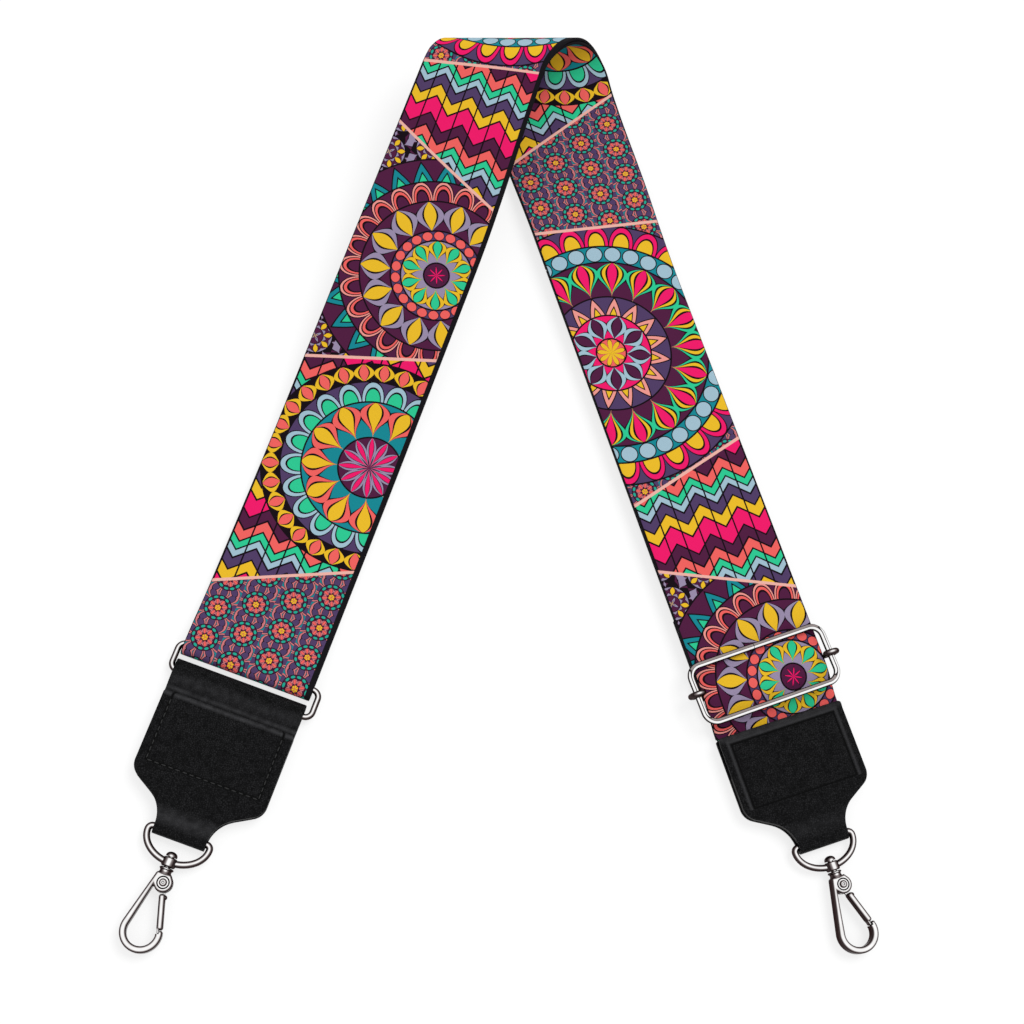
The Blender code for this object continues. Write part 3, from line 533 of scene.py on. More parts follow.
SHELL = [
    (34.0, 41.0, 30, 0.0, "petal", 0.5, nest(CORAL, GOLD, INK)),
    (26.0, 34.0, 20, 0.5, "arch", 0.55, nest(MINT, SKY, PURPLE)),
    (12.0, 26.0, 12, 0.0, "leaf", 0.5, nest(GOLD, CORAL, TEAL)),
    (0.0, 12.0, 12, 0.0, "petal", 0.5, nest(MAGENTA, LILAC, PLUM)),
]

FLOWER = [
    (5.0, 9.0, 10, 0.0, "arch", 0.55, nest(PURPLE, ROSE_PINK, TEAL)),
    (3.6, 5.0, 12, 0.5, "dot", 0.7, nest(SEA, PLUM)),
    (1.3, 3.6, 8, 0.0, "petal", 0.5, nest(CORAL, ROSE_PINK, PLUM)),
    (0.0, 1.3, 6, 0.0, "dot", 0.6, nest(GOLD, MAGENTA)),
]
STARS = [
    (6.6, 11.5, 8, 0.5, "leaf", 0.5, nest(LILAC, PLUM, INK)),
    (3.2, 6.6, 8, 0.0, "petal", 0.5, nest(GOLD, PLUM, LILAC)),
    (0.0, 3.2, 4, 0.0, "spike", 0.6, nest(GOLD, LILAC, PLUM)),
]

CLOTH = {"Roughness": 0.78, "Specular IOR Level": 0.06}
print_face, tree, shader = new_finish("printed_polyester", CLOTH)
across, along = sheet_place(tree)
leaning = across * BLOCKS[0][1]
wrapped = (along - leaning).calc("WRAP", 0.0, BLOCK_LENGTH)
local = wrapped + leaning
flowers = field(across, local, FLOWER_PITCH, FLOWER, PLUM)
stars = field(across, local, STAR_PITCH, STARS, INK)

zigzag = across.calc("PINGPONG", ZIGZAG_HALF)
step = (zigzag * ZIGZAG_SLOPE + local) / CHEVRON_PITCH
chevrons = step.calc("FRACT").bands([
    (0.0, MAGENTA), (0.19, INK), (0.215, GOLD), (0.34, INK), (0.365, PURPLE), (0.48, INK),
    (0.505, SKY), (0.58, INK), (0.605, MINT), (0.68, INK), (0.705, CORAL), (0.82, INK),
    (0.845, PLUM), (0.975, INK),
])
crossings = abs(zigzag - ZIGZAG_HALF / 2) < ZIGZAG_LINE
chevrons = crossings.paint(chevrons, INK)

patches = [
    rosette(across, local, ROSE_CENTRE, ROSE, stars),
    chevrons,
    rosette(across, local, SUNBURST_CENTRE, SUNBURST, flowers),
    flowers,
    rosette(across, local, SHELL_CENTRE, SHELL, chevrons),
]
design = patches[0]
nearest = wrapped.least(BLOCK_LENGTH - wrapped)
for (start, lean), patch in zip(BLOCKS[1:], patches[1:]):
    past = local - (across * lean + start)
    design = (past > 0.0).paint(design, patch)
    nearest = nearest.least(abs(past))
design = (nearest < BLOCK_LINE).paint(design, PINK_LINE)

selvage = ((along - SELVAGE_START) * SELVAGE_GROWTH).most(0.0).least(SELVAGE)
for place in BEND_PLACES:
    selvage = selvage + (BEND_SELVAGE - abs(along - place) * BEND_FADE).most(0.0)
design = (across + selvage > BAND_WIDTH * 500).paint(design, PLAIN_BLACK)


def weave(tree, shader, colour):
    """A fine plain weave in the bump and a touch of it in the colour."""
    across, along = sheet_place(tree)
    warp = (across * (2 * math.pi / WARP_PITCH)).calc("SINE")
    weft = (along * (2 * math.pi / WEFT_PITCH)).calc("SINE")
    cloth = warp * weft * 0.5 + 0.5
    put((cloth * 0.22 + 0.86).shade(colour), shader.inputs["Base Color"])
    cloth.emboss(shader, 0.5, 0.00012)


weave(tree, shader, design)
print_back, tree, shader = new_finish("black_polyester", CLOTH)
weave(tree, shader, PLAIN_BLACK)
for cover, node in ((webbing, "webbing"), (returning, "webbing_return")):
    cover_sheet(cover, print_face, print_back)
    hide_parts(node)
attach(webbing, "strap")
start = band_point(-RETURN_START, 0)
end = band_point(-SLIDER_AXIS, 0)
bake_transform(returning)


# Sewn end of the webbing
# The end of the same band, folded round the slider's centre bar and sewn back under itself.
# It moves with the slider.
RIGHT_TURN = LEG_ANGLE
LEFT_TURN = -LEG_ANGLE
TAIL_LENGTH = 0.030
TAIL_RISE = 0.013


def flat_place(along, level):
    point = band_point(along, 0)
    return Vector((point.x, point.y, level))


def pick(piece):
    """Selects one piece alone and makes it the active one."""
    bpy.ops.object.select_all(action="DESELECT")
    piece.select_set(True)
    bpy.context.view_layer.objects.active = piece


def seat(piece, place, turn):
    """Puts a finished piece in its place and leaves its object at the origin."""
    pick(piece)
    piece.rotation_euler = (0, 0, turn)
    piece.location = place
    bpy.ops.object.transform_apply(location=True, rotation=True, scale=True)


def local_rows(path, half, columns=BAND_COLUMNS):
    return [[Vector((x, y, z)) for x in spread(-half, half, columns)] for y, z in path]


slider_place = flat_place(-SLIDER_AXIS, BAR_LEVEL)
path = [(BAR_SLEEVE, BAR_SLEEVE)]
path += [
    (-BAR_SLEEVE * math.sin(angle), BAR_SLEEVE * math.cos(angle))
    for angle in spread(0, math.pi, 14)
]
sewn = BAR_SLEEVE - LAYER_STEP
for place in spread(SLIDER_BAR_WIRE, TAIL_RISE, 12):
    climb = (sewn + BAR_SLEEVE) * ease(place, SLIDER_BAR_WIRE, TAIL_RISE)
    path.append((place, climb - BAR_SLEEVE))
path += [(place, sewn) for place in spread(TAIL_RISE, TAIL_LENGTH, 10)[1:]]
tail_rows = local_rows(path, BAND_WIDTH / 2)
tail, _ = laid_sheet(
    "webbing_sewn_end", tail_rows, BAND_THICKNESS, start=printed_length + returned_length
)
seat(tail, slider_place, RIGHT_TURN)
cover_sheet(tail, print_face, print_back)
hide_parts("webbing_tail")
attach(tail, "slider_bar")


# Leather end tabs
# Each is one blank of black grained leather folded round the bail's bar, with a board inside, and
# pressed over it so that a panel stands up. The left one is stitched round its panel.
LEATHER_THICKNESS = 0.0011
NECK_HALF_WIDTH = 0.0098
SHOULDER_START = 0.0270
SHOULDER_OUT_RADIUS = 0.006
SHOULDER_IN_RADIUS = 0.012
SHOULDER_TURN = math.radians(60)
TOP_CORNER = 0.0010
PANEL_MARGIN = 0.0026
PANEL_RISE = 0.0005
BAIL_WIRE = 0.00125
PANEL_OFFSET = BAIL_WIRE + GAP + LEATHER_THICKNESS / 2
TAB_COLUMNS = 96
TAB_STEP = 0.0005
PANEL_EDGE = 0.0002
PANEL_SLOPE = 0.0009
STITCH_INSET = 0.0011
SEAM_DEPTH = 0.00022
SEAM_SPREAD = 0.00045
BEAD_RISE = 0.00022
BEAD_INSET = 0.0009
BEAD_SPREAD = 0.0007
FAR = 0.005
PAD_FOOT = 0.001
PAD_TOP = 0.0042
PAD_MARGIN = 0.0048
PAD_RISE = 0.00075
PAD_SLOPE = 0.0020
PAD_GROOVE = 0.00018
PAD_GROOVE_SPREAD = 0.0009
PAD_GROOVE_END = 0.002
TURNED_EDGE_RISE = 0.00035
TURNED_EDGE_FOOT = 0.0028
TURNED_EDGE_TOP = 0.0016


def arc(centre, radius, start, end, steps):
    return [
        Vector(centre) + radius * Vector((math.cos(a), math.sin(a)))
        for a in spread(start, end, steps)
    ]


def tab_side():
    """Half width of the tab against height, from its top edge down to the neck."""
    wide, turn = BAND_WIDTH / 2, SHOULDER_TURN
    outer, inner = SHOULDER_OUT_RADIUS, SHOULDER_IN_RADIUS
    run = (wide - NECK_HALF_WIDTH - (outer + inner) * (1 - math.cos(turn))) / math.sin(turn)
    start = TAB_LENGTH - SHOULDER_START
    neck_y = start - (outer + inner) * math.sin(turn) - run * math.cos(turn)
    corner = (wide - TOP_CORNER, TAB_LENGTH - TOP_CORNER)
    side = arc(corner, TOP_CORNER, math.pi / 2, 0, 8)
    side += arc((wide - outer, start), outer, 0, -turn, 12)
    side += arc((NECK_HALF_WIDTH + inner, neck_y), inner, math.pi - turn, math.pi, 12)
    side.append(Vector((NECK_HALF_WIDTH, 0)))
    return [point.y for point in side][::-1], [point.x for point in side][::-1]


SIDE_Y, SIDE_X = tab_side()


def bump_line(distance, width):
    return math.exp(-((distance / width) ** 2))


def stitched_panel(x, y):
    """The left tab's front: a pressed panel, its stitch groove and a raised bead along the top."""
    low, high = TAB_LENGTH - SHOULDER_START, TAB_LENGTH - PANEL_MARGIN
    side = BAND_WIDTH / 2 - PANEL_MARGIN - abs(x)
    inside = min(side, y - low, high - y)
    rise = PANEL_RISE * ease(inside, -PANEL_EDGE, PANEL_SLOPE)
    stitch = min(abs(side - STITCH_INSET), FAR) if y > low else FAR
    groove = min(stitch, abs(y - low - STITCH_INSET) if side > 0 else FAR)
    rise -= SEAM_DEPTH * bump_line(groove, SEAM_SPREAD) * ease(inside, -0.0003, 0.0003)
    return rise + BEAD_RISE * bump_line(TAB_LENGTH - y - BEAD_INSET, BEAD_SPREAD)


def plain_panel(x, y):
    """The right tab's front: a padded panel in a soft groove, under a thick turned top edge."""
    low, high = TAB_LENGTH - SHOULDER_START - PAD_FOOT, TAB_LENGTH - PAD_TOP
    side = BAND_WIDTH / 2 - PAD_MARGIN - abs(x)
    inside = min(side, y - low, high - y)
    rise = PAD_RISE * ease(inside, -PANEL_EDGE, PAD_SLOPE)
    groove = bump_line(inside + PAD_GROOVE_SPREAD, PAD_GROOVE_SPREAD)
    rise -= PAD_GROOVE * groove * ease(y, low - PAD_GROOVE_END, low + PAD_GROOVE_END)
    edge = ease(y, TAB_LENGTH - TURNED_EDGE_FOOT, TAB_LENGTH - TURNED_EDGE_TOP)
    return rise + TURNED_EDGE_RISE * edge


def tab_rows(front):
    """The blank from its front's top edge, down round the bail's bar and up its flat back."""
    rows = []
    for y in np.arange(TAB_LENGTH, 0.0002, -TAB_STEP):
        half = float(np.interp(y, SIDE_Y, SIDE_X))
        places = spread(-half, half, TAB_COLUMNS)
        rows.append([Vector((x, y, PANEL_OFFSET + front(x, y))) for x in places])
    fold = [
        (-PANEL_OFFSET * math.sin(angle), PANEL_OFFSET * math.cos(angle))
        for angle in spread(0, math.pi, 16)
    ]
    rows += local_rows(fold, NECK_HALF_WIDTH, TAB_COLUMNS)
    for y in np.arange(0.0007, TAB_LENGTH, 2 * TAB_STEP).tolist() + [TAB_LENGTH]:
        half = float(np.interp(y, SIDE_Y, SIDE_X))
        rows += local_rows([(y, -PANEL_OFFSET)], half, TAB_COLUMNS)
    return rows


def texture(tree, kind, output="Fac", **settings):
    """The value of a fine pattern that is fixed to the piece."""
    where = tree.nodes.new("ShaderNodeTexCoord")
    pattern = tree.nodes.new(f"ShaderNodeTex{kind}")
    for setting, value in settings.items():
        pattern.inputs[setting].default_value = value
    tree.links.new(where.outputs["Object"], pattern.inputs["Vector"])
    return Value(tree, pattern.outputs[output])


def near_line(place, line, reach):
    """1 on a line, falling to 0 at its reach."""
    return (abs(place - line) * (-1 / reach) + 1.0).most(0.0)


PAINTED_HIGHLIGHT = (0.060, 0.060, 0.064)


def grained_leather(name, highlight_lines, panel=None):
    """Black grained leather with painted highlights at some places along it (place, reach, share).
    Lines of painted shade and painted highlight go round a panel of a half width, a top and a foot.
    All are in millimetres."""
    leather, tree, shader = new_finish(name, {"Specular IOR Level": 0.06})
    grain = texture(tree, "Voronoi", "Distance", Scale=1500.0)
    grain.socket.node.feature = "DISTANCE_TO_EDGE"
    creases = texture(tree, "Noise", Scale=420.0, Detail=6.0)
    cells = (grain * 4.0).least(1.0)
    (creases * 0.9 + cells).emboss(shader, 0.55, 0.00010)
    tone = (cells * creases).bands([
        (0.10, (0.0012, 0.0012, 0.0014)), (0.60, (0.0165, 0.0165, 0.0178)),
    ], "LINEAR")
    across, along = sheet_place(tree)
    # Painted highlights: lighter bands where the leather's ridges and folds would catch the light.
    for place, reach, share in highlight_lines:
        tone = (near_line(along, place, reach) * creases * (2 * share)).paint(tone, PAINTED_HIGHLIGHT)
    if panel:
        half, top, foot, lines = panel
        inside = (half - abs(across)).least(along - top).least(foot - along)
        wide = along < foot + 1.0
        # Painted shade along the panel's grooves and painted highlight along its ridge.
        for place, reach, share, colour in lines:
            tone = (near_line(inside, place, reach) * wide * share).paint(tone, colour)
    put(tone, shader.inputs["Base Color"])
    put(creases * 0.25 + 0.32, shader.inputs["Roughness"])
    return leather


BAIL_WIDTH = 0.0256
BAIL_DROP = 0.0102
RING_PITCH = 0.0105
LOOP_SHOWING = 0.0082
ring_place = flat_place(LEFT_RING_AXIS, RING_LEVEL)
left_up = Vector((-math.sin(LEFT_TURN), math.cos(LEFT_TURN), 0))
right_up = Vector((-math.sin(RIGHT_TURN), math.cos(RIGHT_TURN), 0))
loop_place = ring_place - RING_PITCH * left_up
loop_place.z = END_LEVEL
left_place = loop_place - (LOOP_SHOWING + TAB_LENGTH) * left_up
right_place = flat_place(-RIGHT_TAB_AXIS, END_LEVEL)

# Painted highlights on the tabs: one along the top bead and one above the neck's fold.
LEFT_HIGHLIGHTS = ((1.0, 1.1, 0.55), (TAB_LENGTH * 1000 - 4.0, 4.0, 0.36))
RIGHT_HIGHLIGHTS = ((1.2, 1.8, 0.30), (TAB_LENGTH * 1000 - 5.0, 4.0, 0.12))
# Painted shade in the panels' stitch and edge grooves, and a painted highlight on the right panel's
# ridge.
GROOVE_SHADE = (0.0004, 0.0004, 0.0005)
RIDGE_HIGHLIGHT = (-1.9, 0.9, 0.5, PAINTED_HIGHLIGHT)
LEFT_PANEL = (22.4, -9.0, 27.0, ((1.1, 0.8, 1.3, GROOVE_SHADE),))
RIGHT_PANEL = (20.2, 4.2, 28.0, (RIDGE_HIGHLIGHT, (-0.6, 0.7, 1.2, GROOVE_SHADE)))
for name, front, place, turn, body, highlight_lines, panel in (
    ("left_tab_leather", stitched_panel, left_place, LEFT_TURN, "left_tab", LEFT_HIGHLIGHTS, LEFT_PANEL),
    ("right_tab_leather", plain_panel, right_place, RIGHT_TURN, "strap", RIGHT_HIGHLIGHTS, RIGHT_PANEL),
):
    leather = grained_leather(f"{name}_grain", highlight_lines, panel)
    tab, _ = laid_sheet(name, tab_rows(front), LEATHER_THICKNESS)
    seat(tab, place, turn)
    cover_sheet(tab, leather, leather)
    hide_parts(name.replace("_leather", ""))
    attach(tab, body)


# Leather loop
# A strip of the same leather goes round the ring's lower bar, and both its ends are sewn between
# the left tab's two faces.
LOOP_TUCK = 0.015
STRIP_SLEEVE = RING_WIRE + GAP + LEATHER_THICKNESS / 2
closed = (LEATHER_THICKNESS + GAP) / 2
mouth = -LOOP_SHOWING - GAP
upper_half = [(mouth - LOOP_TUCK, closed)]
for place in spread(mouth, -RING_WIRE, 14):
    climb = (STRIP_SLEEVE - closed) * ease(place, mouth, -RING_WIRE)
    upper_half.append((place, closed + climb))
fold = [
    (FOLD_SLACK + STRIP_SLEEVE * math.sin(angle), STRIP_SLEEVE * math.cos(angle))
    for angle in spread(0, math.pi, 16)
]
path = upper_half + fold + [(y, -z) for y, z in upper_half[::-1]]
strip_rows = local_rows(path, BAND_WIDTH / 2)
strip, _ = laid_sheet("leather_loop_strip", strip_rows, LEATHER_THICKNESS)
seat(strip, loop_place, LEFT_TURN)
# Painted highlights on the strip: a thin light ridge just above the tab's mouth and a broad faint
# one over the band.
leather = grained_leather("leather_loop_grain", ((16.8, 1.3, 0.5), (20.5, 3.5, 0.22)))
cover_sheet(strip, leather, leather)
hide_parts("leather_loop")
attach(strip, "left_tab")


# Stitches of the left tab
# One row of black thread down each side of the panel and along its foot, each stitch sunk a
# little into the leather at both ends.
STITCH_PITCH = 0.0026
STITCH_LENGTH = 0.0021
STITCH_RADIUS = 0.00026
STITCH_SINK = 0.00020
thread, tree, shader = new_finish("black_thread", {
    "Base Color": (0.0030, 0.0030, 0.0034, 1), "Roughness": 0.5,
})
texture(tree, "Wave", Scale=900.0).emboss(shader, 1.0, 0.00005)

panel_low = TAB_LENGTH - SHOULDER_START + STITCH_INSET
panel_high = TAB_LENGTH - PANEL_MARGIN - 0.0005
row_x = BAND_WIDTH / 2 - PANEL_MARGIN - STITCH_INSET
stitch_top = PANEL_OFFSET + LEATHER_THICKNESS / 2 + PANEL_RISE - STITCH_SINK
spots = []
for y in np.arange(panel_low + STITCH_PITCH / 2, panel_high, STITCH_PITCH):
    spots += [(-row_x, y, math.pi / 2), (row_x, y, math.pi / 2)]
feet = int(2 * row_x / STITCH_PITCH)
for x in spread(-row_x + STITCH_PITCH / 2, row_x - STITCH_PITCH / 2, feet - 1):
    spots.append((x, panel_low, 0))
bpy.ops.object.select_all(action="DESELECT")
stitches = []
for x, y, turn in spots:
    bpy.ops.mesh.primitive_uv_sphere_add(
        segments=8, ring_count=6, radius=STITCH_RADIUS, location=(x, y, stitch_top),
        rotation=(0, 0, turn), scale=(STITCH_LENGTH / 2 / STITCH_RADIUS, 1, 1),
    )
    stitches.append(bpy.context.object)
for stitch in stitches:
    stitch.select_set(True)
bpy.ops.object.join()
sewing = bpy.context.object
sewing.name = "left_tab_stitches"
bpy.ops.object.transform_apply(location=True, rotation=True, scale=True)
bpy.ops.object.shade_smooth()
seat(sewing, left_place, LEFT_TURN)
sewing.data.materials.append(thread)
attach(sewing, "left_tab")


# Boards in the tabs
# A thin stiffener lies between the two faces of each tab. Only its edge can be seen.
board, tree, shader = new_finish("pressed_board", {"Roughness": 0.85})
fibre = texture(tree, "Noise", Scale=900.0)
fibre_tones = [(0.3, (0.010, 0.010, 0.010)), (0.7, (0.028, 0.026, 0.025))]
put(fibre.bands(fibre_tones, "LINEAR"), shader.inputs["Base Color"])
for node in ("left_tab_filler", "right_tab_filler"):
    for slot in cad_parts[node].material_slots:
        slot.material = board


# Slider
# A rounded rectangle of bright nickel-plated wire lies over the band, butted in the middle of its
# upper side. A thinner bar passes under the band, and its ends curl round the frame's sides.
def plating(name, level_reflection_stops, upward_reflection_stops=None):
    """Bright nickel plating with painted reflections in its colour. Its tone is set by how level a
    face lies, so that faces turned to the side get a painted dark reflection, and, for the slider's
    wire, by how far it turns up along the leg, which paints a grey reflection band between dark
    lines."""
    metal, tree, shader = new_finish(name, {
        "Metallic": 1.0, "Specular Tint": (0.42, 0.40, 0.40, 1),
    })
    smudge = texture(tree, "Noise", Scale=260.0, Detail=5.0)
    tone = smudge.bands([(0.35, (0.90, 0.89, 0.885)), (0.65, (0.99, 0.985, 0.98))], "LINEAR")
    where = tree.nodes.new("ShaderNodeTexCoord")
    facing = tree.nodes.new("ShaderNodeSeparateXYZ")
    tree.links.new(where.outputs["Normal"], facing.inputs[0])
    x, y, z = [Value(tree, part) for part in facing.outputs]
    # Painted reflections: the tone darkens as a face turns from level to the side.
    tone = abs(z).bands(level_reflection_stops, "LINEAR").shade(tone)
    if upward_reflection_stops:
        # Painted reflections on the slider's wire: white where it turns away, a grey band between
        # dark lines where it turns up along the leg.
        upward = x * right_up.x + y * right_up.y
        sideways = x * right_up.y - y * right_up.x
        turned_up = (upward - abs(sideways)) * 0.4 + 0.6
        tone = turned_up.bands(upward_reflection_stops, "LINEAR").shade(tone)
    put(tone, shader.inputs["Base Color"])
    put(smudge * 0.10 + 0.09, shader.inputs["Roughness"])
    smudge.emboss(shader, 0.12, 0.00004)
    return metal


WHITE = (1.0, 1.0, 1.0)
# Painted reflection tones: a dark and a grey one stand in for what the wire's sides reflect.
DARK_REFLECTION = (0.026, 0.020, 0.020)
# Painted reflections on the hooks, bails, bar and ring: dark brown side faces, a darker band before
# the rim and white level faces.
nickel = plating("bright_nickel", [
    (0.0, (0.045, 0.034, 0.034)), (0.30, (0.060, 0.045, 0.045)), (0.80, (0.022, 0.014, 0.014)),
    (0.91, (0.17, 0.14, 0.14)), (0.955, (0.38, 0.35, 0.35)), (0.985, WHITE),
])
GREY_REFLECTION = (0.33, 0.285, 0.28)
# Painted reflections on the slider: dark sides, white level faces and a grey band where the wire
# turns up along the leg.
slider_nickel = plating("slider_nickel", [(0.63, DARK_REFLECTION), (0.74, WHITE)], [
    (0.535, WHITE), (0.55, DARK_REFLECTION), (0.59, DARK_REFLECTION), (0.605, GREY_REFLECTION), (0.88, GREY_REFLECTION),
    (0.92, DARK_REFLECTION),
])

WIRE_SIDES = 4


def tidy(piece, angle=35):
    """Welds a piece's doubles, turns its faces outwards and smooths its curved sides."""
    pick(piece)
    bpy.ops.object.mode_set(mode="EDIT")
    bpy.ops.mesh.select_all(action="SELECT")
    bpy.ops.mesh.remove_doubles(threshold=0.00001)
    bpy.ops.mesh.normals_make_consistent(inside=False)
    bpy.ops.object.mode_set(mode="OBJECT")
    bpy.ops.object.shade_smooth_by_angle(angle=math.radians(angle))
    return piece


def bent_wire(name, points, radius, closed=False, shares=None):
    """Round wire bent along its points, stouter where a point's share of the radius says so."""
    piece = primitive(name, bpy.ops.curve.primitive_bezier_curve_add)
    curve = piece.data
    curve.splines.clear()
    line = curve.splines.new("POLY")
    line.points.add(len(points) - 1)
    for spot, point, share in zip(line.points, points, shares or [1.0] * len(points)):
        spot.co = (*point, 1)
        spot.radius = share
    line.use_cyclic_u = closed
    curve.bevel_depth = radius
    curve.bevel_resolution = WIRE_SIDES
    curve.use_fill_caps = True
    bpy.ops.object.convert(target="MESH")
    piece = bpy.context.object
    piece.data.materials.clear()
    return tidy(piece)


def rounded_rectangle(half_x, half_y, corner, steps):
    places = []
    for turn, (side_x, side_y) in enumerate(((1, 1), (-1, 1), (-1, -1), (1, -1))):
        centre = (side_x * (half_x - corner), side_y * (half_y - corner))
        start = turn * math.pi / 2
        places += arc(centre, corner, start, start + math.pi / 2, steps)
    return places


def plated(piece, node, body, metal=nickel):
    piece.data.materials.clear()
    piece.data.materials.append(metal)
    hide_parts(node)
    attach(piece, body)


SLIDER_HEIGHT = 0.0222
SLIDER_CORNER = 0.0045
SLIDER_SIDE_GAP = 0.0010
SLIDER_KNEE_GAP = 0.0008
SLIDER_SEAM = 0.0002
SLIDER_SKEW = math.radians(1.6)
CURL_TURN = math.radians(262)
CURL_STOUT = 1.4
CURL_TAPER = [1.3, 1.0, 0.6]
CURL_GAP = 0.0002
KNEE_LENGTH = 0.0006
KNEE_RISE = 0.0002
rail = BAND_WIDTH / 2 + SLIDER_SIDE_GAP + SLIDER_WIRE
frame_lift = FRAME_LEVEL - BAR_LEVEL
loop_points = rounded_rectangle(rail, SLIDER_HEIGHT / 2, SLIDER_CORNER, 14)
quarter = len(loop_points) // 4
around = [Vector((-SLIDER_SEAM / 2, SLIDER_HEIGHT / 2))] + loop_points[quarter:]
around += loop_points[:quarter] + [Vector((SLIDER_SEAM / 2, SLIDER_HEIGHT / 2))]
slider = bent_wire("slider_wire_frame", [(*point, frame_lift) for point in around], SLIDER_WIRE)
seat(slider, slider_place, RIGHT_TURN + SLIDER_SKEW)
plated(slider, "slider_frame", "slider_frame", slider_nickel)

curl = SLIDER_WIRE + CURL_GAP + CURL_STOUT * SLIDER_BAR_WIRE
turns = arc((rail, frame_lift), curl, -math.pi / 2, -math.pi / 2 + CURL_TURN, 30)
knee = BAND_WIDTH / 2 + SLIDER_KNEE_GAP
right_half = [Vector((knee - KNEE_LENGTH, 0)), Vector((knee, KNEE_RISE))] + turns
left_half = [Vector((-point.x, point.y)) for point in right_half]
path = [(point.x, 0, point.y) for point in left_half[::-1] + right_half]
plain = len(right_half) - len(turns)
curled = [CURL_STOUT] * (len(turns) - len(CURL_TAPER)) + CURL_TAPER
shares = curled[::-1] + [1.0] * (2 * plain) + curled
bar = bent_wire("slider_centre_bar", path, SLIDER_BAR_WIRE, shares=shares)
seat(bar, slider_place, RIGHT_TURN)
plated(bar, "slider_bar", "slider_bar")


# Ring of the left end
# A flat rectangular ring of the same plated wire joins the webbing's fold to the leather loop. Its
# round ends stand out past the band on both sides.
RING_SIDE_GAP = 0.0010
RING_SHIFT = 0.0006
RING_CORNER = 0.0027
side = BAND_WIDTH / 2 + RING_SIDE_GAP + RING_WIRE
half = RING_PITCH / 2
path = [
    (p.x + RING_SHIFT, p.y - half, 0) for p in rounded_rectangle(side, half, RING_CORNER, 14)
]
ring = bent_wire("webbing_ring", path, RING_WIRE, closed=True)
seat(ring, ring_place, LEFT_TURN)
plated(ring, "ring", "ring")


# Bails
# Each end has a D of plated wire. Its straight side lies in the leather, and a turned boss in the
# middle of its bow carries the hook's swivel post.
BAIL_CORNER = 0.0016
BOSS_RADIUS = 0.0026
BOSS_LENGTH = 0.0034
POST_RADIUS = 0.0011
POST_HEAD_RADIUS = 0.0021
POST_HEAD_HEIGHT = 0.0019
POST_DEPTH = 0.0024
EDGE_ROUND = 0.0006
PAST = 0.002
TURNED_SIDES = 40


def turned(name, profile, place=(0, 0, 0), upright=False):
    """A solid turned from its profile of radius and height, about Y, or about Z if upright."""
    rings, add = len(profile) - 1, bpy.ops.mesh.primitive_grid_add
    piece = primitive(name, add, x_subdivisions=rings, y_subdivisions=TURNED_SIDES, size=1)
    spots = []
    for angle in spread(0, 2 * math.pi, TURNED_SIDES):
        for radius, height in profile:
            out, side = radius * math.cos(angle), radius * math.sin(angle)
            spots.append((out, side, height) if upright else (out, height, side))
    places = np.array(spots) + np.array(place)
    piece.data.vertices.foreach_set("co", places.ravel())
    return tidy(piece)


def combine(piece, tool, operation):
    """Adds a tool to a piece or cuts it away, and removes the tool."""
    pick(piece)
    reshape(piece, "BOOLEAN", operation=operation, object=tool, solver="EXACT")
    pick(tool)
    bpy.ops.object.delete()


def bore(piece, name, radius, start, end, place=(0, 0, 0), upright=False):
    """Drills a round hole through a piece from one height to another."""
    profile = [(0, start), (radius, start), (radius, end), (0, end)]
    combine(piece, turned(name, profile, place, upright), "DIFFERENCE")


def on_both_ends(piece, node, body, offset=(0, 0)):
    """Puts one copy of a finished piece on each end of the strap."""
    for side, place, turn, up in (
        ("left", left_place, LEFT_TURN, left_up),
        ("right", right_place, RIGHT_TURN, right_up),
    ):
        pick(piece)
        bpy.ops.object.duplicate()
        copy = bpy.context.object
        copy.name = f"{side}_{piece.name}"
        sideways = Vector((up.y, -up.x, 0))
        seat(copy, place + offset[0] * sideways + offset[1] * up, turn)
        plated(copy, f"{side}_{node}", f"{side}_{body}")
    pick(piece)
    bpy.ops.object.delete()


half = BAIL_WIDTH / 2 - BAIL_WIRE
inset = half - BAIL_CORNER
around = arc((inset, -BAIL_CORNER), BAIL_CORNER, math.pi / 2, 0, 8)
for angle in spread(0, math.pi, 56)[1:-1]:
    drop = BAIL_CORNER + (BAIL_DROP - BAIL_CORNER) * math.sin(angle)
    around.append(Vector((half * math.cos(angle), -drop)))
around += arc((-inset, -BAIL_CORNER), BAIL_CORNER, math.pi, math.pi / 2, 8)
bail = bent_wire("bail_wire", [(*point, 0) for point in around], BAIL_WIRE, closed=True)
reach = BOSS_LENGTH / 2
core = BOSS_RADIUS - EDGE_ROUND
rounding = [
    (core + EDGE_ROUND * math.sin(a), reach - EDGE_ROUND + EDGE_ROUND * math.cos(a))
    for a in spread(0, math.pi / 2, 5)
]
profile = [(0, reach)] + rounding + [(r, -h) for r, h in rounding[::-1]] + [(0, -reach)]
combine(bail, turned("boss", profile, (0, -BAIL_DROP, 0)), "UNION")
post_hole = POST_RADIUS + GAP
bore(bail, "boss_bore", post_hole, reach + PAST, -reach - PAST, (0, -BAIL_DROP, 0))
on_both_ends(tidy(bail), "bail", "bail")


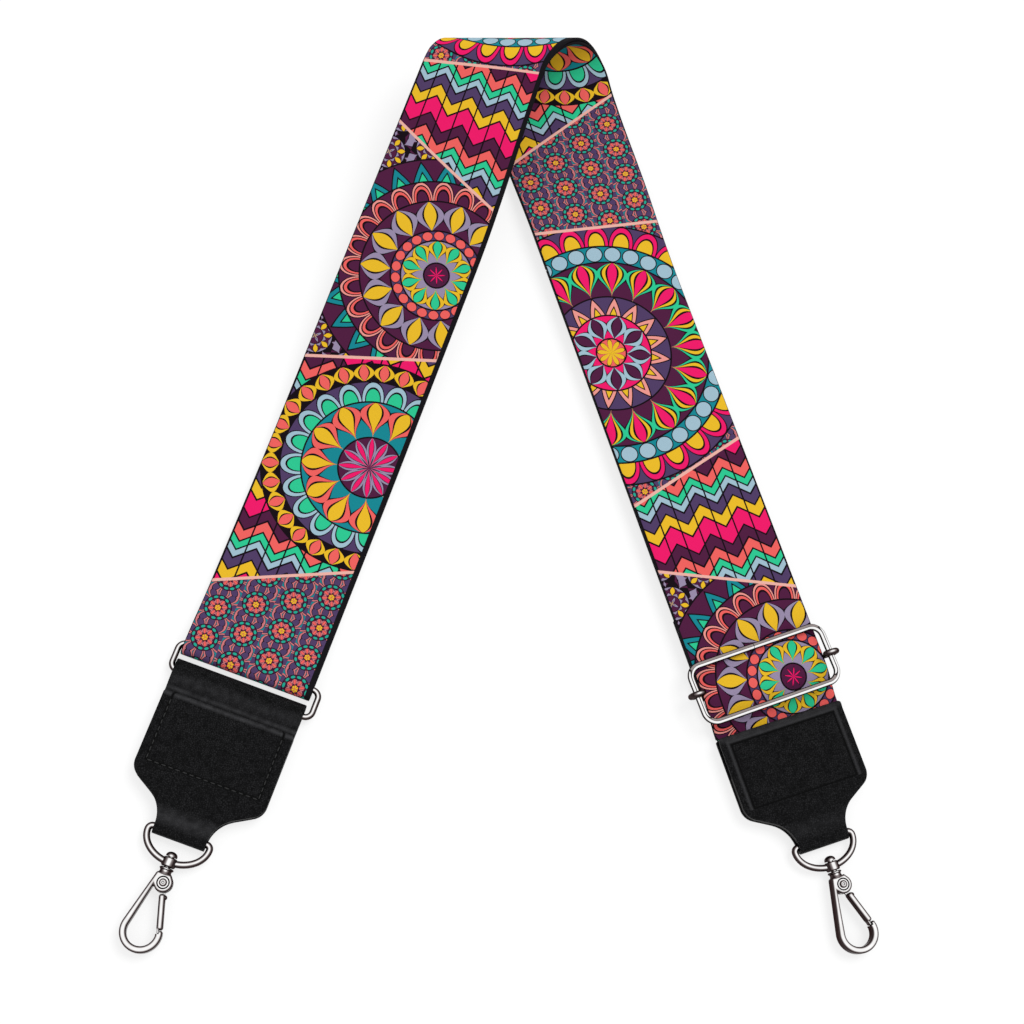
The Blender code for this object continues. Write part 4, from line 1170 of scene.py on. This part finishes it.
# Swivel posts
# A domed head sits on the boss inside the bail. Its shank goes down through the boss and is riveted
# into the hook's collar.
COLLAR_TOP = -BOSS_LENGTH / 2 - GAP
POST_HEAD_RIM = 0.0003
seat_level = BOSS_LENGTH / 2 + GAP
crown = POST_HEAD_HEIGHT - POST_HEAD_RIM
dome = [
    (POST_HEAD_RADIUS * math.sin(a), seat_level + POST_HEAD_RIM + crown * math.cos(a))
    for a in spread(0, math.pi / 2, 10)
]
profile = dome + [(POST_HEAD_RADIUS, seat_level), (POST_RADIUS, seat_level)]
profile += [(POST_RADIUS, COLLAR_TOP - POST_DEPTH), (0, COLLAR_TOP - POST_DEPTH)]
on_both_ends(turned("swivel_post", profile), "post", "hook", (0, -BAIL_DROP))


# Snap hooks
# A cast hook seen flat: a turned collar, a cheek slotted for the gate, a long spine, a round end
# and a stepped nose. A ring groove is cut round the pin in the cheek's face.
HOOK_THICKNESS = 0.0050
HOOK_LENGTH = 0.0307
HOOK_RADIUS = 0.0075
HOOK_LIMB = 0.0024
HOOK_ROUND = 0.0009
COLLAR_RADIUS = 0.0026
COLLAR_LENGTH = 0.0026
COLLAR_WAIST = 0.0021
PIVOT_DROP = 0.0053
PIVOT_SHIFT = 0.00084
CHEEK_RADIUS = 0.0034
NOSE_ANGLE = math.radians(20)
NOSE_LAP = 0.0012
SLOT_WIDTH = 0.0027
TONGUE_RADIUS = 0.0019
PIN_RADIUS = 0.0008
RING_GROOVE = 0.0021
GROOVE_HALF = 0.0004
GROOVE_DEPTH = 0.00035
WAIST_REACH = 0.0004
WAIST_FLARE = COLLAR_WAIST + 0.0001
CUTTER_RIM = 0.00005
SHARP_TURN = math.radians(35)
CORNER_ROOM = 1.6
HOOK_CENTRE = Vector((0, COLLAR_TOP - HOOK_LENGTH + HOOK_RADIUS))
LIMB_RADIUS = HOOK_RADIUS - HOOK_LIMB / 2
NOSE = HOOK_CENTRE + LIMB_RADIUS * Vector((math.cos(NOSE_ANGLE), math.sin(NOSE_ANGLE)))
PIVOT = Vector((PIVOT_SHIFT, COLLAR_TOP - PIVOT_DROP))
GATE_LENGTH = (PIVOT - NOSE).length
GATE_LINE = (PIVOT - NOSE) / GATE_LENGTH


def plate(name, points, thickness, rounding, level=0.0):
    """A flat plate from its outline, with its rim rounded on both faces. Points close beside a
    sharp corner are left out, so that the rounding has room there."""
    points = [Vector(point[:2]) for point in points]
    befores, afters = [points[-1]] + points[:-1], points[1:] + [points[0]]
    corners = [
        point for before, point, after in zip(befores, points, afters)
        if (point - before).angle(after - point) > SHARP_TURN
    ]
    room = CORNER_ROOM * rounding
    points = [
        point for point in points
        if point in corners or all((point - corner).length > room for corner in corners)
    ]
    add = bpy.ops.mesh.primitive_circle_add
    piece = primitive(name, add, vertices=len(points), radius=1, fill_type="NGON")
    spots = [(point[0], point[1], level - thickness / 2) for point in points]
    piece.data.vertices.foreach_set("co", np.array(spots).ravel())
    bpy.ops.object.mode_set(mode="EDIT")
    bpy.ops.mesh.select_all(action="SELECT")
    bpy.ops.mesh.extrude_region_move(TRANSFORM_OT_translate={"value": (0, 0, thickness)})
    bpy.ops.object.mode_set(mode="OBJECT")
    tidy(piece)
    reshape(
        piece, "BEVEL", width=rounding, segments=4, limit_method="ANGLE", angle_limit=RIM_TURN
    )
    return piece


def tangent_angle(point, radius, side):
    away = point - HOOK_CENTRE
    return math.atan2(away.y, away.x) + side * math.acos(radius / away.length)


outer, inner = HOOK_RADIUS, HOOK_RADIUS - HOOK_LIMB
shoulder = Vector((-COLLAR_RADIUS, COLLAR_TOP - COLLAR_LENGTH + EDGE_ROUND))
cheek = arc(PIVOT, CHEEK_RADIUS, math.radians(45), math.radians(-150), 44)
out_start = tangent_angle(shoulder, outer, 1)
in_start = tangent_angle(cheek[-1], inner, 1)
full = 2 * math.pi
outline = [shoulder, Vector((COLLAR_RADIUS, shoulder.y))] + cheek
outline += arc(HOOK_CENTRE, inner, in_start, full + NOSE_ANGLE, 56)
outline += arc(HOOK_CENTRE, outer, full + NOSE_ANGLE, out_start, 64)
hook = plate("snap_hook", outline, HOOK_THICKNESS, HOOK_ROUND)
lap = NOSE_LAP / LIMB_RADIUS
step = arc(HOOK_CENTRE, LIMB_RADIUS, NOSE_ANGLE - lap, NOSE_ANGLE + lap, 8)
step += arc(HOOK_CENTRE, inner - PAST, NOSE_ANGLE + lap, NOSE_ANGLE - lap, 8)
combine(hook, plate("nose_step", step, 2 * HOOK_THICKNESS, CUTTER_RIM), "DIFFERENCE")

low = COLLAR_TOP - COLLAR_LENGTH - EDGE_ROUND
waist = COLLAR_TOP - COLLAR_LENGTH / 2
lip = EDGE_ROUND / 2
profile = [(0, COLLAR_TOP), (COLLAR_RADIUS - lip, COLLAR_TOP), (COLLAR_RADIUS, COLLAR_TOP - lip)]
profile += [(COLLAR_RADIUS, COLLAR_TOP - EDGE_ROUND), (WAIST_FLARE, waist + WAIST_REACH)]
profile += [(COLLAR_WAIST, waist), (WAIST_FLARE, waist - WAIST_REACH)]
profile += [(COLLAR_RADIUS, COLLAR_TOP - COLLAR_LENGTH), (COLLAR_WAIST, low), (0, low)]
combine(hook, turned("collar", profile), "UNION")
bore(hook, "collar_bore", post_hole, PAST, COLLAR_TOP - POST_DEPTH - GAP)

back, ceiling = PIVOT.x - TONGUE_RADIUS - GAP, PIVOT.y + TONGUE_RADIUS + GAP
far, floor = PIVOT.x + CHEEK_RADIUS + PAST, PIVOT.y - CHEEK_RADIUS - PAST
corners = [(back, floor), (far, floor), (far, ceiling), (back, ceiling)]
combine(hook, plate("slot", corners, SLOT_WIDTH, CUTTER_RIM), "DIFFERENCE")
face = HOOK_THICKNESS / 2
pin_hole = PIN_RADIUS + GAP
bore(hook, "pin_hole", pin_hole, face + PAST, -face - PAST, (*PIVOT, 0), upright=True)
above = face + 0.0002
start = (RING_GROOVE - GROOVE_HALF, above)
profile = [start, (RING_GROOVE, face - GROOVE_DEPTH), (RING_GROOVE + GROOVE_HALF, above), start]
combine(hook, turned("ring_groove", profile, (*PIVOT, 0), upright=True), "DIFFERENCE")
on_both_ends(tidy(hook, 40), "hook", "hook", (0, -BAIL_DROP))


# Pins of the gates
# A low round head with a dimple in its middle shows on the cheek's face, and the shank goes through
# the tongue to the far face.
PIN_HEAD_RADIUS = 0.0014
PIN_HEAD_HEIGHT = 0.0004
PIN_DIMPLE = 0.00055
under = HOOK_THICKNESS / 2 + GAP
top = under + PIN_HEAD_HEIGHT
profile = [(0, top - 0.00035), (0.0003, top - 0.0003), (PIN_DIMPLE, top), (PIN_RADIUS, top)]
profile += [(PIN_HEAD_RADIUS - 0.0002, under + 0.00022), (PIN_HEAD_RADIUS, under)]
profile += [(PIN_RADIUS, under), (PIN_RADIUS, -HOOK_THICKNESS / 2), (0, -HOOK_THICKNESS / 2)]
pin_spot = (PIVOT.x, PIVOT.y - BAIL_DROP)
on_both_ends(turned("gate_pin", profile, upright=True), "pin", "hook", pin_spot)


# Gates
# Each gate is a bar with a thumb nub at its root and a lap at its tip, on a thin tongue with an eye
# for the pin. A fine wire spring sits beside the tongue in the slot.
GATE_WIDTH = 0.0023
GATE_THICKNESS = 0.0040
GATE_ROUND = 0.0009
TONGUE_THICKNESS = 0.0010
TONGUE_RIM = 0.00008
NUB_RADIUS = 0.0006


def gate_spot(along, across):
    """A point of the gate from its pivot: along towards the nose, across towards the outside."""
    outside = Vector((GATE_LINE.y, -GATE_LINE.x))
    return -along * GATE_LINE + across * outside


half = GATE_WIDTH / 2
root = math.sqrt((CHEEK_RADIUS + GAP) ** 2 - half**2) + GAP
tip = GATE_LENGTH - GAP
nub = root + 2 * NUB_RADIUS
corners = [(root, half), (root, -half), (tip, -half), (tip, half)]
gate = plate("gate_bar", [gate_spot(*corner) for corner in corners], GATE_THICKNESS, GATE_ROUND)
inset = GATE_ROUND / 4
corners = [(tip - NOSE_LAP, inset - half), (tip + NOSE_LAP, inset - half)]
corners += [(tip + NOSE_LAP, -GAP), (tip - NOSE_LAP, -GAP)]
outline = [gate_spot(*corner) for corner in corners]
combine(gate, plate("gate_lap", outline, GATE_THICKNESS - 2 * inset, inset), "UNION")
thumb = primitive(
    "thumb_nub", bpy.ops.mesh.primitive_uv_sphere_add,
    segments=28, ring_count=18, radius=1.5 * NUB_RADIUS,
    location=(*gate_spot(nub, half - NUB_RADIUS / 2), 0), scale=(1, 1, 1.8),
)
bpy.ops.object.transform_apply(location=True, rotation=True, scale=True)
combine(gate, thumb, "UNION")
level = -SLOT_WIDTH / 2 + GAP + TONGUE_THICKNESS / 2
wrist = TONGUE_RADIUS / 2
heading = math.atan2(-GATE_LINE.y, -GATE_LINE.x)
side = math.asin(wrist / TONGUE_RADIUS)
outline = arc((0, 0), TONGUE_RADIUS, heading + side, heading + full - side, 40)
outline += [gate_spot(root + NUB_RADIUS, -wrist), gate_spot(root + NUB_RADIUS, wrist)]
combine(gate, plate("tongue", outline, TONGUE_THICKNESS, TONGUE_RIM, level), "UNION")
bore(gate, "gate_eye", pin_hole, SLOT_WIDTH, -SLOT_WIDTH, upright=True)
on_both_ends(tidy(gate, 40), "gate", "gate", pin_spot)

spring_steel, tree, shader = new_finish("spring_steel", {"Metallic": 1.0, "Roughness": 0.3})
drawn = texture(tree, "Noise", Scale=2000.0)
steel_tones = [(0.3, (0.30, 0.29, 0.28)), (0.7, (0.46, 0.45, 0.44))]
put(drawn.bands(steel_tones, "LINEAR"), shader.inputs["Base Color"])
for node in ("left_gate_spring", "right_gate_spring"):
    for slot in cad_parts[node].material_slots:
        slot.material = spring_steel
